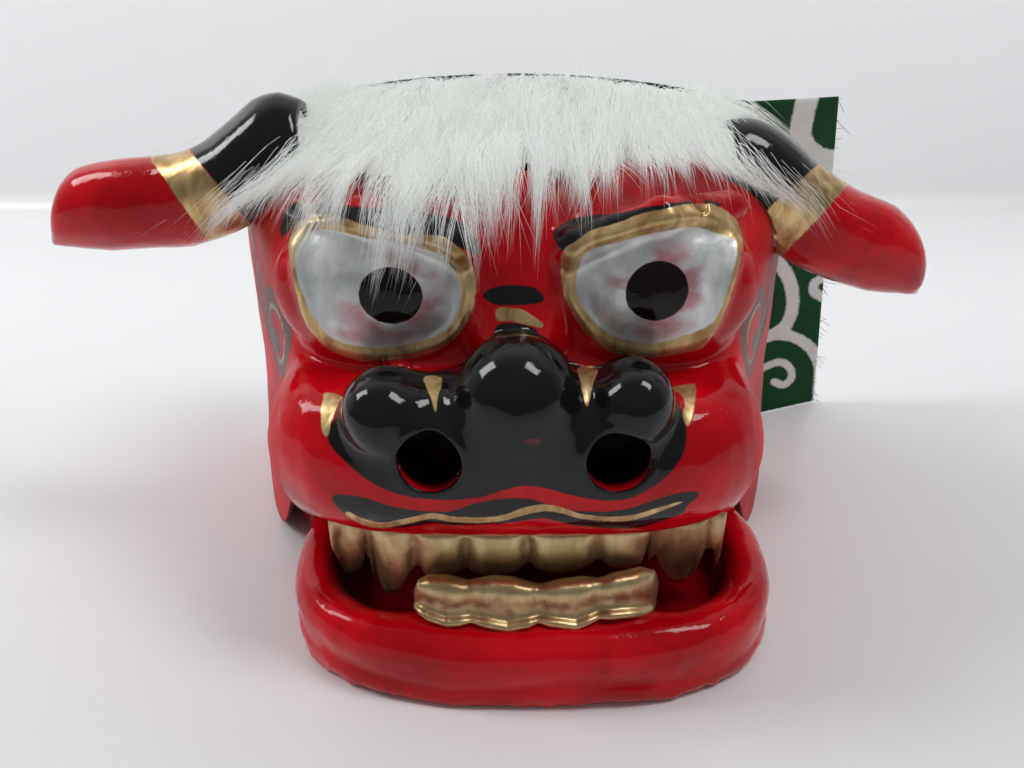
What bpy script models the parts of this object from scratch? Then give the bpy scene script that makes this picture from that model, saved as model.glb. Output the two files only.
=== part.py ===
"""A lion dance head: a moulded papier-mache head with a hinged lower jaw, gilded teeth, two ears, a fur
forelock and a cloth cape.

Units are metres. +Z is up, the face looks along -Y, and +X is the viewer's right. The origin is on the flat
underside of the lower jaw, where the head rests on a table.
"""

import math

import bmesh
import bpy
import numpy as np

# Head: the moulded skin
HEAD_WIDTH = 0.224
FACE_WIDTH = 0.158
BACK_RIM_Y = 0.100
FACE_Y = -0.052
WIDEST_Y = 0.052
BROW_Z = 0.152
CROWN_Z = 0.176
CROWN_DROP = 0.013
SHELL_WALL = 0.003
LIP_WALL = 0.010
LIP_Z = 0.0535
MOUTH_CORNER_Z = 0.0475
SIDE_FLARE = 0.0055
FACE_BOW = 0.012
CORNER_ROUND = 0.026
CROWN_ROUND = 0.024

# Muzzle, nose, cheeks and eyes
MUZZLE_WIDTH = 0.150
MUZZLE_Y = -0.068
MUZZLE_SWEEP = 0.018
MUZZLE_Z = 0.074
MUZZLE_DEEP = 0.021
MUZZLE_TALL = 0.024
MUZZLE_END_ROUND = 0.012
MUZZLE_BLEND = 0.014
NOSE_BALL_RADIUS = 0.0192
NOSE_BALL_Z = 0.1015
NOSTRIL_RADIUS = 0.0095
NOSTRIL_LEFT_X = -0.0253
NOSTRIL_RIGHT_X = 0.0298
NOSTRIL_Z = 0.0855
CHEEK_X = 0.0668
CHEEK_Z = 0.075
CHEEK_RADIUS = 0.0215
EYE_X = 0.045
EYE_Z = 0.1235
EYE_RADIUS = 0.033
EYE_BULGE = 0.0035
BROW_RADIUS = 0.0042
BRIDGE_RADIUS = 0.0125
LUMPS = {
    # name: (radii in X, Y and Z as shares of the lump's named radius)
    "cheek": (0.698, 1.116, 1.000),
    "jowl": (0.581, 0.884, 1.116),
    "nose_base": (2.708, 0.964, 0.833),
    "nose_wing": (0.885, 0.896, 0.844),
    "nose_ball": (1.000, 1.000, 1.000),
    "eye": (1.000, 0.500, 0.773),
}

# Hinge rod
ROD_RADIUS = 0.002
ROD_Y = 0.050
ROD_Z = 0.034
ROD_PROUD = 0.0012

# Lower jaw
JAW_FRONT_Y = -0.100
JAW_WIDTH = 0.1765
JAW_LIP_Z = 0.0262
JAW_LUG_Z = 0.043
JAW_BACK_Y = 0.062
JAW_FLOOR = 0.004
JAW_SIDE_GAP = 0.0040
JAW_SHIFT = 0.0060
JAW_LIP_THICK = 0.0180
JAW_LEDGE = 0.0075

# Teeth
TOOTH_TALL = 0.0172
UPPER_TEETH_THICK = 0.0062
UPPER_TEETH_INSET = 0.0022
TOOTH_SWELL = 0.0012
BITE_GAP = 0.0008
LOWER_TEETH_WIDTH = 0.081
LOWER_TEETH_TALL = 0.0128
LOWER_TEETH_THICK = 0.0088

# Ears
EAR_LENGTH = 0.094
EAR_WIDTH = 0.036
EAR_DEPTH = 0.019
EAR_WALL = 0.0026

# Forelock and cape
FUR_HEIGHT = 0.0125
FUR_SEAT = 0.0008
FUR_REACH = 0.12
FUR_LOCKS = 11
FUR_BACK_EDGE = 0.003
FUR_TIP_EDGE = 0.0022
CAPE_THICK = 0.0012
CAPE_FLAP = 0.056
CAPE_PLEAT = 0.010

# Clearances
SEAT_GAP = 0.0003
PIN_GAP = 0.0003
SEAT_CUT_DEPTH = 0.030

# Mesh
FACE_COLUMNS = 40
SIDE_COLUMNS = 10
WALL_ROWS = 28
STEP_SHARE = 0.03
ROD_SIDES = 12
NOSTRIL_SIDES = 20


# Shapes as signed distances, in numpy


def smooth_step(value):
    value = np.clip(value, 0.0, 1.0)
    return value * value * (3 - 2 * value)


def smooth_min(a, b, radius):
    """The lesser of a and b, with a fillet of about this radius where they meet."""
    share = np.clip(0.5 + 0.5 * (b - a) / radius, 0.0, 1.0)
    return b + (a - b) * share - radius * share * (1 - share)


def smooth_max(a, b, radius):
    return -smooth_min(-a, -b, radius)


def lump(points, name, centre, radius):
    """Distance to one of the moulded lumps, an ellipsoid, and to its mirror image across X = 0."""
    radii = np.array(LUMPS[name]) * radius
    local = np.stack([np.abs(points[..., 0]), points[..., 1], points[..., 2]], -1) - np.array(centre)
    scaled = local / radii
    near = np.linalg.norm(scaled, axis=-1)
    slope = np.linalg.norm(scaled / radii, axis=-1)
    return near * (near - 1) / np.maximum(slope, 1e-9)


def capsule(points, start, end, radius):
    """Distance to a rod with round ends and to its mirror image across X = 0."""
    local = np.stack([np.abs(points[..., 0]), points[..., 1], points[..., 2]], -1)
    start, run = np.array(start), np.array(end) - np.array(start)
    share = np.clip(((local - start) @ run) / (run @ run), 0, 1)
    return np.linalg.norm(local - start - share[..., None] * run, axis=-1) - radius


def half_width_at(y):
    """Half the head's outer width at a depth, from the face back to where the sides run straight."""
    spread = smooth_step((y - FACE_Y) / (WIDEST_Y - FACE_Y))
    return (FACE_WIDTH + (HEAD_WIDTH - FACE_WIDTH) * spread) / 2


def skull(points):
    """The plain head: flared sides, a slightly crowned top and a face that leans back."""
    x, y, z = points[..., 0], points[..., 1], points[..., 2]
    flare = SIDE_FLARE * (1 - smooth_step(z / MUZZLE_Z)) * smooth_step((y - FACE_Y) / (-FACE_Y))
    side = (np.abs(x) - half_width_at(y) - flare) * 0.92
    rise = smooth_step((y - FACE_Y) / (WIDEST_Y - FACE_Y))
    top = z - (BROW_Z + (CROWN_Z - BROW_Z) * rise - CROWN_DROP * (2 * x / HEAD_WIDTH) ** 2)
    lean = 0.10 * (z - EYE_Z) + FACE_BOW * (2 * x / FACE_WIDTH) ** 2
    front = (FACE_Y + lean - y) * 0.96
    return smooth_max(smooth_max(side, front, CORNER_ROUND), top, CROWN_ROUND)


def muzzle(points):
    """The upper lip: a thick bar that sweeps back at its ends."""
    x, y, z = points[..., 0], points[..., 1], points[..., 2]
    middle_y = MUZZLE_Y + MUZZLE_SWEEP * (2 * x / MUZZLE_WIDTH) ** 4
    round_off = np.sqrt(((y - middle_y) / MUZZLE_DEEP) ** 2 + ((z - MUZZLE_Z) / MUZZLE_TALL) ** 2)
    bar = (round_off - 1) * MUZZLE_DEEP
    return smooth_max(bar, np.abs(x) - MUZZLE_WIDTH / 2, MUZZLE_END_ROUND)


def head_skin(points):
    """Signed distance to the head's outer surface: the skull, the muzzle and every moulded lump on them.

    Places and fillets are shares of the lump's own radius, so a lump keeps its shape when it is resized.
    """
    skin = smooth_min(skull(points), muzzle(points), MUZZLE_BLEND)

    size = CHEEK_RADIUS
    cheek = lump(points, "cheek", (CHEEK_X, FACE_Y + 0.14 * size, CHEEK_Z), size)
    jowl = lump(points, "jowl", (CHEEK_X + 0.05 * size, FACE_Y + 0.28 * size, CHEEK_Z - 0.44 * size), size)
    skin = smooth_min(skin, smooth_min(cheek, jowl, 0.47 * size), 0.28 * size)

    size = NOSE_BALL_RADIUS
    wing_centre = (2.06 * size, MUZZLE_Y - 0.3125 * size, NOSE_BALL_Z - 0.365 * size)
    wing = lump(points, "nose_wing", wing_centre, size)
    ball = lump(points, "nose_ball", (0, MUZZLE_Y - 0.417 * size, NOSE_BALL_Z), size)
    base = lump(points, "nose_base", (0, MUZZLE_Y - 0.052 * size, NOSTRIL_Z), size)
    nose = smooth_min(smooth_min(wing, ball, 0.06 * size), base, 0.14 * size)
    skin = smooth_min(skin, nose, 0.28 * size)

    size = BRIDGE_RADIUS
    foot = (0, FACE_Y - 0.24 * size, NOSE_BALL_Z + 0.96 * size)
    top = (0, FACE_Y + 0.96 * size, BROW_Z - 0.32 * size)
    skin = smooth_min(skin, capsule(points, foot, top, size), 0.64 * size)

    size = EYE_RADIUS
    eye = lump(points, "eye", (EYE_X, FACE_Y + 0.424 * size - EYE_BULGE, EYE_Z), size)
    skin = smooth_min(skin, eye, 0.15 * size)
    inner_brow = (EYE_X - 0.85 * size, FACE_Y - 0.03 * size, EYE_Z + 0.515 * size)
    middle_brow = (EYE_X - 0.06 * size, FACE_Y + 0.03 * size, EYE_Z + 0.803 * size)
    outer_brow = (EYE_X + 0.79 * size, FACE_Y + 0.545 * size, EYE_Z + 0.773 * size)
    inner = capsule(points, inner_brow, middle_brow, BROW_RADIUS)
    outer = capsule(points, middle_brow, outer_brow, BROW_RADIUS)
    return smooth_min(skin, smooth_min(inner, outer, 0.71 * BROW_RADIUS), 1.67 * BROW_RADIUS)


# The head's grid: rays from a core box to an outer box, which meet the skin between them

CORE = {"x": FACE_WIDTH * 0.38, "front": FACE_Y * 0.385, "top": CROWN_Z * 0.597}
REACH = {"x": HEAD_WIDTH * 0.58, "front": MUZZLE_Y * 1.985, "top": CROWN_Z * 1.534}
RAY_START = HEAD_WIDTH * 0.09


def wall_column(index):
    """(core x, core y, reach x, reach y, foot z) of a wall column, from the left back edge round the face."""
    if SIDE_COLUMNS <= index <= SIDE_COLUMNS + FACE_COLUMNS:
        across = 2 * (index - SIDE_COLUMNS) / FACE_COLUMNS - 1
        foot = LIP_Z - (LIP_Z - MOUTH_CORNER_Z) * min(abs(across) / 0.75, 1) ** 2
        return CORE["x"] * across, CORE["front"], REACH["x"] * across, REACH["front"], foot
    side = -1 if index < SIDE_COLUMNS else 1
    past = SIDE_COLUMNS - index if side < 0 else index - SIDE_COLUMNS - FACE_COLUMNS
    back = past / SIDE_COLUMNS
    foot = MOUTH_CORNER_Z * (1 - smooth_step((back - 0.13) / 0.37))
    core_y = CORE["front"] + (BACK_RIM_Y - CORE["front"]) * back
    reach_y = REACH["front"] + (BACK_RIM_Y - REACH["front"]) * back
    return side * CORE["x"], core_y, side * REACH["x"], reach_y, foot


def wall_rays():
    columns = 2 * SIDE_COLUMNS + FACE_COLUMNS
    inner, outer = np.zeros((columns + 1, WALL_ROWS + 1, 3)), np.zeros((columns + 1, WALL_ROWS + 1, 3))
    for i in range(columns + 1):
        core_x, core_y, reach_x, reach_y, foot = wall_column(i)
        up = np.arange(WALL_ROWS + 1) / WALL_ROWS
        inner[i] = np.stack([core_x + 0 * up, core_y + 0 * up, foot + (CORE["top"] - foot) * up], -1)
        outer[i] = np.stack([reach_x + 0 * up, reach_y + 0 * up, foot + (REACH["top"] - foot) * up], -1)
    return inner, outer


def crown_rays():
    inner = np.zeros((FACE_COLUMNS + 1, SIDE_COLUMNS + 1, 3))
    outer = np.zeros_like(inner)
    for i in range(FACE_COLUMNS + 1):
        for j in range(SIDE_COLUMNS + 1):
            across, back = 2 * i / FACE_COLUMNS - 1, j / SIDE_COLUMNS
            inner[i, j] = (
                CORE["x"] * across, CORE["front"] + (BACK_RIM_Y - CORE["front"]) * back, CORE["top"]
            )
            outer[i, j] = (
                REACH["x"] * across, REACH["front"] + (BACK_RIM_Y - REACH["front"]) * back, REACH["top"]
            )
    return inner, outer


def meet(inner, outer, level):
    """Share of the way from inner to outer at which a ray, coming inwards, first meets the skin's level."""
    samples = 56
    level = np.broadcast_to(level, inner.shape[:-1])
    low, high = np.zeros(inner.shape[:-1]), np.ones(inner.shape[:-1])
    found = np.zeros(inner.shape[:-1], bool)
    for k in range(samples, -1, -1):
        share = np.full(inner.shape[:-1], k / samples)
        inside = head_skin(inner + share[..., None] * (outer - inner)) < level
        fresh = inside & ~found
        low = np.where(fresh, share, low)
        high = np.where(fresh, np.minimum(share + 1 / samples, 1), high)
        found |= inside
    for _ in range(12):
        middle = (low + high) / 2
        inside = head_skin(inner + middle[..., None] * (outer - inner)) < level
        low = np.where(inside, middle, low)
        high = np.where(inside, high, middle)
    return (low + high) / 2


def held_back(values):
    """Values lowered until no straight span between every other one of them passes in front of the rest."""
    spans = np.array(values)
    spans[1::2, ::2] = (values[:-1:2, ::2] + values[2::2, ::2]) / 2
    spans[:, 1::2] = (spans[:, :-1:2] + spans[:, 2::2]) / 2
    excess = np.pad(np.maximum(spans - values, 0), 1)
    rows, columns = values.shape
    around = [excess[i : i + rows, j : j + columns] for i in range(3) for j in range(3)]
    return values - np.max(around, axis=0)


def softened(values):
    """Values with their sudden steps rounded, which lie where a lump hides the crease behind it."""
    padded = np.pad(values, 1, mode="edge")
    sides = padded[:-2, 1:-1] + padded[2:, 1:-1] + padded[1:-1, :-2] + padded[1:-1, 2:]
    bend = sides / 4 - values
    blend = values + bend * 0.6 * smooth_step(np.abs(bend) / STEP_SHARE)
    blend[0], blend[-1], blend[:, 0], blend[:, -1] = values[0], values[-1], values[:, 0], values[:, -1]
    return blend


def head_surface(level, stride=1):
    """Vertices and quads of the head's skin at a level, and its open edge in order from the left foot."""
    columns = 2 * SIDE_COLUMNS + FACE_COLUMNS
    wall_in, wall_out = wall_rays()
    top_in, top_out = crown_rays()
    wall_level, top_level = level if isinstance(level, tuple) else (level, level)
    wall_share, top_share = meet(wall_in, wall_out, wall_level), meet(top_in, top_out, top_level)
    if stride > 1:
        wall_share, top_share = held_back(wall_share), held_back(top_share)
    else:
        for _ in range(3):
            wall_share = softened(wall_share)
    walls = wall_in + wall_share[..., None] * (wall_out - wall_in)
    crown = top_in + top_share[..., None] * (top_out - top_in)
    points, index = [], {}
    for i in range(0, columns + 1, stride):
        for j in range(0, WALL_ROWS + 1, stride):
            index["wall", i, j] = len(points)
            points.append(walls[i, j])
    for i in range(0, FACE_COLUMNS + 1, stride):
        for j in range(0, SIDE_COLUMNS + 1, stride):
            if j == 0:
                index["top", i, j] = index["wall", SIDE_COLUMNS + i, WALL_ROWS]
            elif i == 0:
                index["top", i, j] = index["wall", SIDE_COLUMNS - j, WALL_ROWS]
            elif i == FACE_COLUMNS:
                index["top", i, j] = index["wall", SIDE_COLUMNS + FACE_COLUMNS + j, WALL_ROWS]
            else:
                index["top", i, j] = len(points)
                points.append(crown[i, j])
    faces = []
    for kind, wide, tall in (("wall", columns, WALL_ROWS), ("top", FACE_COLUMNS, SIDE_COLUMNS)):
        for i in range(0, wide, stride):
            for j in range(0, tall, stride):
                ring = [(i, j), (i + stride, j), (i + stride, j + stride), (i, j + stride)]
                faces.append([index[kind, a, b] for a, b in ring])
    foot = [index["wall", i, 0] for i in range(0, columns + 1, stride)]
    right = [index["wall", columns, j] for j in range(stride, WALL_ROWS + 1, stride)]
    back = [index["top", i, SIDE_COLUMNS] for i in range(FACE_COLUMNS - stride, 0, -stride)]
    left = [index["wall", 0, j] for j in range(WALL_ROWS, 0, -stride)]
    return np.array(points), faces, foot + right + back + left


def head_body(outer_level, inner_level, stride):
    """A closed skin between two levels, fine outside and coarser inside, stitched round its open edge."""
    outer, outer_faces, outer_edge = head_surface(outer_level)
    inner, inner_faces, inner_edge = head_surface(inner_level, stride)
    first = len(outer)
    faces = outer_faces + [[first + k for k in reversed(face)] for face in inner_faces]
    for k, near in enumerate(inner_edge):
        a, b = first + near, first + inner_edge[(k + 1) % len(inner_edge)]
        run = [outer_edge[(k * stride + s) % len(outer_edge)] for s in range(stride + 1)]
        half = stride // 2
        for s in range(stride):
            faces.append([run[s + 1], run[s], a if s < max(half, 1) else b])
        faces.append([run[max(half, 1)], a, b])
    return np.concatenate([outer, inner]), faces


# Objects


def material(name, colour, roughness, metallic=0.0):
    made = bpy.data.materials.new(name)
    made.use_nodes = True
    shader = made.node_tree.nodes["Principled BSDF"]
    shader.inputs["Base Color"].default_value = (*colour, 1)
    shader.inputs["Roughness"].default_value = roughness
    shader.inputs["Metallic"].default_value = metallic
    return made


def add_object(name, points, faces, finish):
    mesh = bpy.data.meshes.new(name)
    mesh.from_pydata([tuple(map(float, p)) for p in points], [], [list(map(int, f)) for f in faces])
    shaped = bmesh.new()
    shaped.from_mesh(mesh)
    bmesh.ops.recalc_face_normals(shaped, faces=shaped.faces)
    shaped.to_mesh(mesh)
    shaped.free()
    mesh.shade_smooth()
    mesh.set_sharp_from_angle(angle=math.radians(50))
    made = bpy.data.objects.new(name, mesh)
    made.data.materials.append(finish)
    bpy.context.scene.collection.objects.link(made)
    return made


def as_cutter(thing):
    thing.hide_render = True
    thing.display_type = "WIRE"
    return thing


def add_rod(name, start, end, radius, sides, finish=None):
    """A round bar between two points."""
    start, end = np.array(start, float), np.array(end, float)
    along = (end - start) / np.linalg.norm(end - start)
    first = np.cross(along, (0, 0, 1)) if abs(along[2]) < 0.9 else np.cross(along, (1, 0, 0))
    first = first / np.linalg.norm(first)
    second = np.cross(along, first)
    points = []
    for end_point in (start, end):
        for k in range(sides):
            turn = 2 * math.pi * (k + 0.5) / sides
            points.append(end_point + radius * (math.cos(turn) * first + math.sin(turn) * second))
    faces = [[k, (k + 1) % sides, sides + (k + 1) % sides, sides + k] for k in range(sides)]
    faces += [list(range(sides))[::-1], list(range(sides, 2 * sides))]
    made = add_object(name, points, faces, finish or bpy.data.materials["red_lacquer"])
    return as_cutter(made) if finish is None else made


def cut(body, cutter):
    modifier = body.modifiers.new("cut_" + cutter.name, "BOOLEAN")
    modifier.operation = "DIFFERENCE"
    modifier.solver = "EXACT"
    modifier.object = cutter


def add_bore(name):
    """A cutter for the rod's hole, longer than the head is wide."""
    reach = REACH["x"]
    return add_rod(name, (-reach, ROD_Y, ROD_Z), (reach, ROD_Y, ROD_Z), ROD_RADIUS + PIN_GAP, ROD_SIDES)


def side_of_head(y, z):
    """Half the head's outer width at one height and depth, read from the skin itself."""
    inner, outer = np.array([[RAY_START, y, z]]), np.array([[REACH["x"], y, z]])
    return float(RAY_START + meet(inner, outer, 0.0)[0] * (REACH["x"] - RAY_START))


# The upper head


def add_head(finish):
    columns = 2 * SIDE_COLUMNS + FACE_COLUMNS
    from_middle = np.abs(np.arange(columns + 1) - columns / 2)
    face = smooth_step((FACE_COLUMNS / 2 + 3 - from_middle) / 6)
    low = 1 - smooth_step((np.arange(WALL_ROWS + 1) - 1) / 4)
    wall = SHELL_WALL + (LIP_WALL - SHELL_WALL) * face[:, None] * low[None, :]
    top = np.full((FACE_COLUMNS + 1, SIDE_COLUMNS + 1), -SHELL_WALL)
    points, faces = head_body(0.0, (-wall, top), 2)
    head = add_object("head_shell", points, faces, finish)
    for side, x in (("left", NOSTRIL_LEFT_X), ("right", NOSTRIL_RIGHT_X)):
        start, end = (x, MUZZLE_Y * 1.66, NOSTRIL_Z), (x, MUZZLE_Y * 0.735, NOSTRIL_Z)
        cut(head, add_rod(f"nostril_cutter_{side}", start, end, NOSTRIL_RADIUS, NOSTRIL_SIDES))
    cut(head, add_bore("rod_cutter"))
    return head


def add_hinge_rod(finish):
    half = side_of_head(ROD_Y, ROD_Z) + ROD_PROUD
    return add_rod("hinge_rod", (-half, ROD_Y, ROD_Z), (half, ROD_Y, ROD_Z), ROD_RADIUS, ROD_SIDES, finish)


# The lower jaw

JAW_BEND_Y = JAW_FRONT_Y * 0.34
JAW_ROUND = 2.8
JAW_FRONT_STEPS = 22
JAW_SIDE_STEPS = 9
JAW_SECTION = (
    # (inward share of the lip's thickness, height share)
    (0.10, 0.00),
    (0.01, 0.12),
    (0.00, 0.30),
    (0.05, 0.46),
    (0.02, 0.62),
    (0.06, 0.80),
    (0.22, 0.96),
    (0.50, 1.00),
    (0.82, 0.93),
    (0.98, 0.70),
)


def jaw_half_width(y):
    """Half the jaw's outer width: its own at the front, and just inside the head's walls at the back."""
    inside = side_of_head(y, ROD_Z) - SHELL_WALL - JAW_SIDE_GAP
    settle = float(smooth_step((y - JAW_BEND_Y) / (-JAW_BEND_Y)))
    return JAW_WIDTH / 2 + (inside - JAW_WIDTH / 2) * settle


def jaw_shift(y):
    """The jaw hangs a little to the viewer's right at the front, and is centred on its rod."""
    return JAW_SHIFT * float(1 - smooth_step((y - JAW_BEND_Y) / ROD_Y))


def jaw_path():
    """(x, y, inward x, inward y) round the jaw's outer edge, from the back left to the back right."""
    right = []
    for k in range(JAW_FRONT_STEPS // 2 + 1):
        turn = math.pi * k / JAW_FRONT_STEPS
        x = JAW_WIDTH / 2 * math.sin(turn) ** (2 / JAW_ROUND)
        y = JAW_BEND_Y + (JAW_FRONT_Y - JAW_BEND_Y) * max(math.cos(turn), 0) ** (2 / JAW_ROUND)
        right.append((x, y))
    for k in range(1, JAW_SIDE_STEPS + 1):
        y = JAW_BEND_Y + (JAW_BACK_Y - JAW_BEND_Y) * k / JAW_SIDE_STEPS
        right.append((jaw_half_width(y), y))
    outline = [(-x, y) for x, y in reversed(right[1:])] + right
    path = []
    for i, (x, y) in enumerate(outline):
        before, after = outline[max(i - 1, 0)], outline[min(i + 1, len(outline) - 1)]
        run = np.array(after) - np.array(before)
        run = run / np.linalg.norm(run)
        path.append((x + jaw_shift(y), y, -run[1], run[0]))
    return path


def jaw_section(x, y):
    """(lip thickness, lip height) at a point of the jaw's edge."""
    to_back = float(smooth_step((y - JAW_BEND_Y / 4) / (ROD_Y * 0.76 - JAW_BEND_Y / 4)))
    ledge = float(1 - smooth_step((abs(x - JAW_SHIFT) - LOWER_TEETH_WIDTH * 0.44) / (JAW_WIDTH * 0.09)))
    in_front = float(smooth_step((JAW_BEND_Y - y) / (JAW_WIDTH * 0.17)))
    thick = JAW_LIP_THICK * (1 - 0.47 * to_back) + JAW_LEDGE * ledge * in_front
    return thick, JAW_LIP_Z + (JAW_LUG_Z - JAW_LIP_Z) * to_back


def add_jaw(finish):
    path = jaw_path()
    rows = len(JAW_SECTION) + 1
    points = []
    for x, y, inward_x, inward_y in path:
        thick, tall = jaw_section(x, y)
        for inward, up in JAW_SECTION:
            points.append((x + inward_x * thick * inward, y + inward_y * thick * inward, tall * up))
        points.append((x + inward_x * thick * 1.04, y + inward_y * thick * 1.04, JAW_FLOOR))
    count = len(path)
    faces = []
    for i in range(count - 1):
        for j in range(rows - 1):
            faces.append([i * rows + j, (i + 1) * rows + j, (i + 1) * rows + j + 1, i * rows + j + 1])
    middle = count // 2
    for k in range(middle):
        left, right = middle - k, middle + k
        for level in (0, rows - 1):
            ring = [(column * rows) + level for column in (left - 1, left, right, right + 1)]
            faces.append(list(dict.fromkeys(ring)))
    last = (count - 1) * rows
    faces.append([*range(rows), *range(last + rows - 1, last - 1, -1)])
    jaw = add_object("lower_jaw", points, faces, finish)
    cut(jaw, add_bore("jaw_cutter"))
    return jaw


# The teeth

UPPER_TEETH = (
    # (middle, half width, length, how far its sides rise), the first two as shares of the muzzle's half width
    (-0.840, 0.045, 0.85, 0.45),
    (-0.740, 0.058, 1.30, 0.45),
    (-0.547, 0.108, 1.55, 0.40),
    (-0.331, 0.121, 1.00, 0.20),
    (-0.085, 0.124, 1.02, 0.22),
    (0.175, 0.136, 1.00, 0.24),
    (0.453, 0.141, 0.96, 0.20),
    (0.735, 0.118, 1.26, 0.36),
    (0.910, 0.055, 1.10, 0.45),
    (1.015, 0.048, 0.80, 0.40),
)
UPPER_TEETH_COLUMNS = 60
UPPER_TEETH_ENDS = (-0.78, 0.94)
GUM_SHARE = 0.30


def lip_column(across):
    """The lower edge of the lip's outer face, at a share from -1 to 1 across the face's grid."""
    core_x, core_y, reach_x, reach_y, foot = wall_column(SIDE_COLUMNS + (across + 1) / 2 * FACE_COLUMNS)
    inner, outer = np.array([[core_x, core_y, foot]]), np.array([[reach_x, reach_y, foot]])
    return (inner + meet(inner, outer, 0.0)[..., None] * (outer - inner))[0]


def tooth_drop(share):
    """(drop below the lip as a share of TOOTH_TALL, roundness) at a share of the muzzle's half width."""
    drop, swell = GUM_SHARE, 0.0
    for middle, half, length, rise in UPPER_TEETH:
        near = abs(share - middle) / half
        if near < 1:
            drop = max(drop, length * (1 - rise * near**2.5))
            swell = 1 - near**2
    return drop, swell


def add_upper_teeth(finish):
    points, faces = [], []
    spans = np.linspace(*UPPER_TEETH_ENDS, UPPER_TEETH_COLUMNS + 1)
    rows = (0.0, 0.6, 1.0)
    for across in spans:
        edge = lip_column(across)
        inward = np.array([-edge[0] * 0.5, CORE["front"] - edge[1], 0])
        inward = inward / np.linalg.norm(inward)
        drop, swell = tooth_drop(edge[0] / (MUZZLE_WIDTH / 2))
        top = edge[2] - SEAT_GAP
        tall = TOOTH_TALL * drop
        for row in rows:
            out = TOOTH_SWELL * (swell * math.sin(math.pi * (0.2 + 0.6 * row)) - 1.3 * row**3)
            front = edge + inward * (UPPER_TEETH_INSET - out)
            points.append((front[0], front[1], top - tall * row))
        for row in reversed(rows):
            behind = edge + inward * (UPPER_TEETH_INSET + UPPER_TEETH_THICK * (1 - 0.26 * row**2))
            points.append((behind[0], behind[1], top - tall * row))
    ring = 2 * len(rows)
    for i in range(len(spans) - 1):
        for j in range(ring):
            nxt = (j + 1) % ring
            faces.append([i * ring + j, i * ring + nxt, (i + 1) * ring + nxt, (i + 1) * ring + j])
    end = (len(spans) - 1) * ring
    faces += [list(range(ring))[::-1], list(range(end, end + ring))]
    return add_object("upper_teeth", points, faces, finish)


LOWER_TEETH_COLUMNS = 32
LOWER_TEETH_SECTION = (
    # (forward share of the thickness, height share)
    (0.62, 0.00),
    (0.60, 0.10),
    (0.44, 0.22),
    (0.46, 0.60),
    (0.40, 0.86),
    (0.22, 1.00),
    (-0.18, 1.00),
    (-0.44, 0.84),
    (-0.50, 0.00),
)


def add_lower_teeth(finish):
    """Four teeth in one strip on the jaw's lip, which closes just in front of the upper teeth."""
    points, faces = [], []
    seat = JAW_LIP_Z + SEAT_GAP
    lip = np.array([lip_column(across) for across in np.linspace(-1, 1, 41)])
    for k in range(LOWER_TEETH_COLUMNS + 1):
        across = 2 * k / LOWER_TEETH_COLUMNS - 1
        crown = abs(math.sin(math.pi * 2 * (across + 1)))
        tooth = crown**0.5
        round_end = math.sqrt(max(1 - abs(across) ** 10, 0.0)) * 0.72 + 0.28
        x = JAW_SHIFT * 1.2 + LOWER_TEETH_WIDTH / 2 * across
        upper_front = np.interp(x, lip[:, 0], lip[:, 1]) + UPPER_TEETH_INSET - TOOTH_SWELL
        y = upper_front - BITE_GAP - LOWER_TEETH_THICK * 0.55
        for forward, up in LOWER_TEETH_SECTION:
            swell = 1 + 0.22 * (tooth - 0.6)
            tall = LOWER_TEETH_TALL * (0.90 + 0.10 * tooth) * (0.8 + 0.2 * round_end)
            points.append((x, y - LOWER_TEETH_THICK * forward * swell * round_end, seat + tall * up))
    ring = len(LOWER_TEETH_SECTION)
    for i in range(LOWER_TEETH_COLUMNS):
        for j in range(ring):
            nxt = (j + 1) % ring
            faces.append([i * ring + j, i * ring + nxt, (i + 1) * ring + nxt, (i + 1) * ring + j])
    end = LOWER_TEETH_COLUMNS * ring
    faces += [list(range(ring))[::-1], list(range(end, end + ring))]
    return add_object("lower_teeth", points, faces, finish)


# The ears

EAR_SECTIONS = (
    # (along share, width share, depth share, rise share of the width)
    (-0.08, 0.90, 0.80, 0.02),
    (0.02, 1.02, 0.95, 0.10),
    (0.16, 1.08, 1.00, 0.08),
    (0.30, 1.02, 1.00, 0.00),
    (0.46, 0.97, 1.00, -0.06),
    (0.62, 0.94, 0.98, -0.08),
    (0.76, 0.88, 0.92, -0.10),
    (0.87, 0.72, 0.78, -0.16),
    (0.95, 0.46, 0.55, -0.27),
    (0.99, 0.22, 0.30, -0.36),
    (1.02, 0.08, 0.12, -0.41),
)
EAR_ROUND = 9
EAR_WRAP = math.radians(112)


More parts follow.
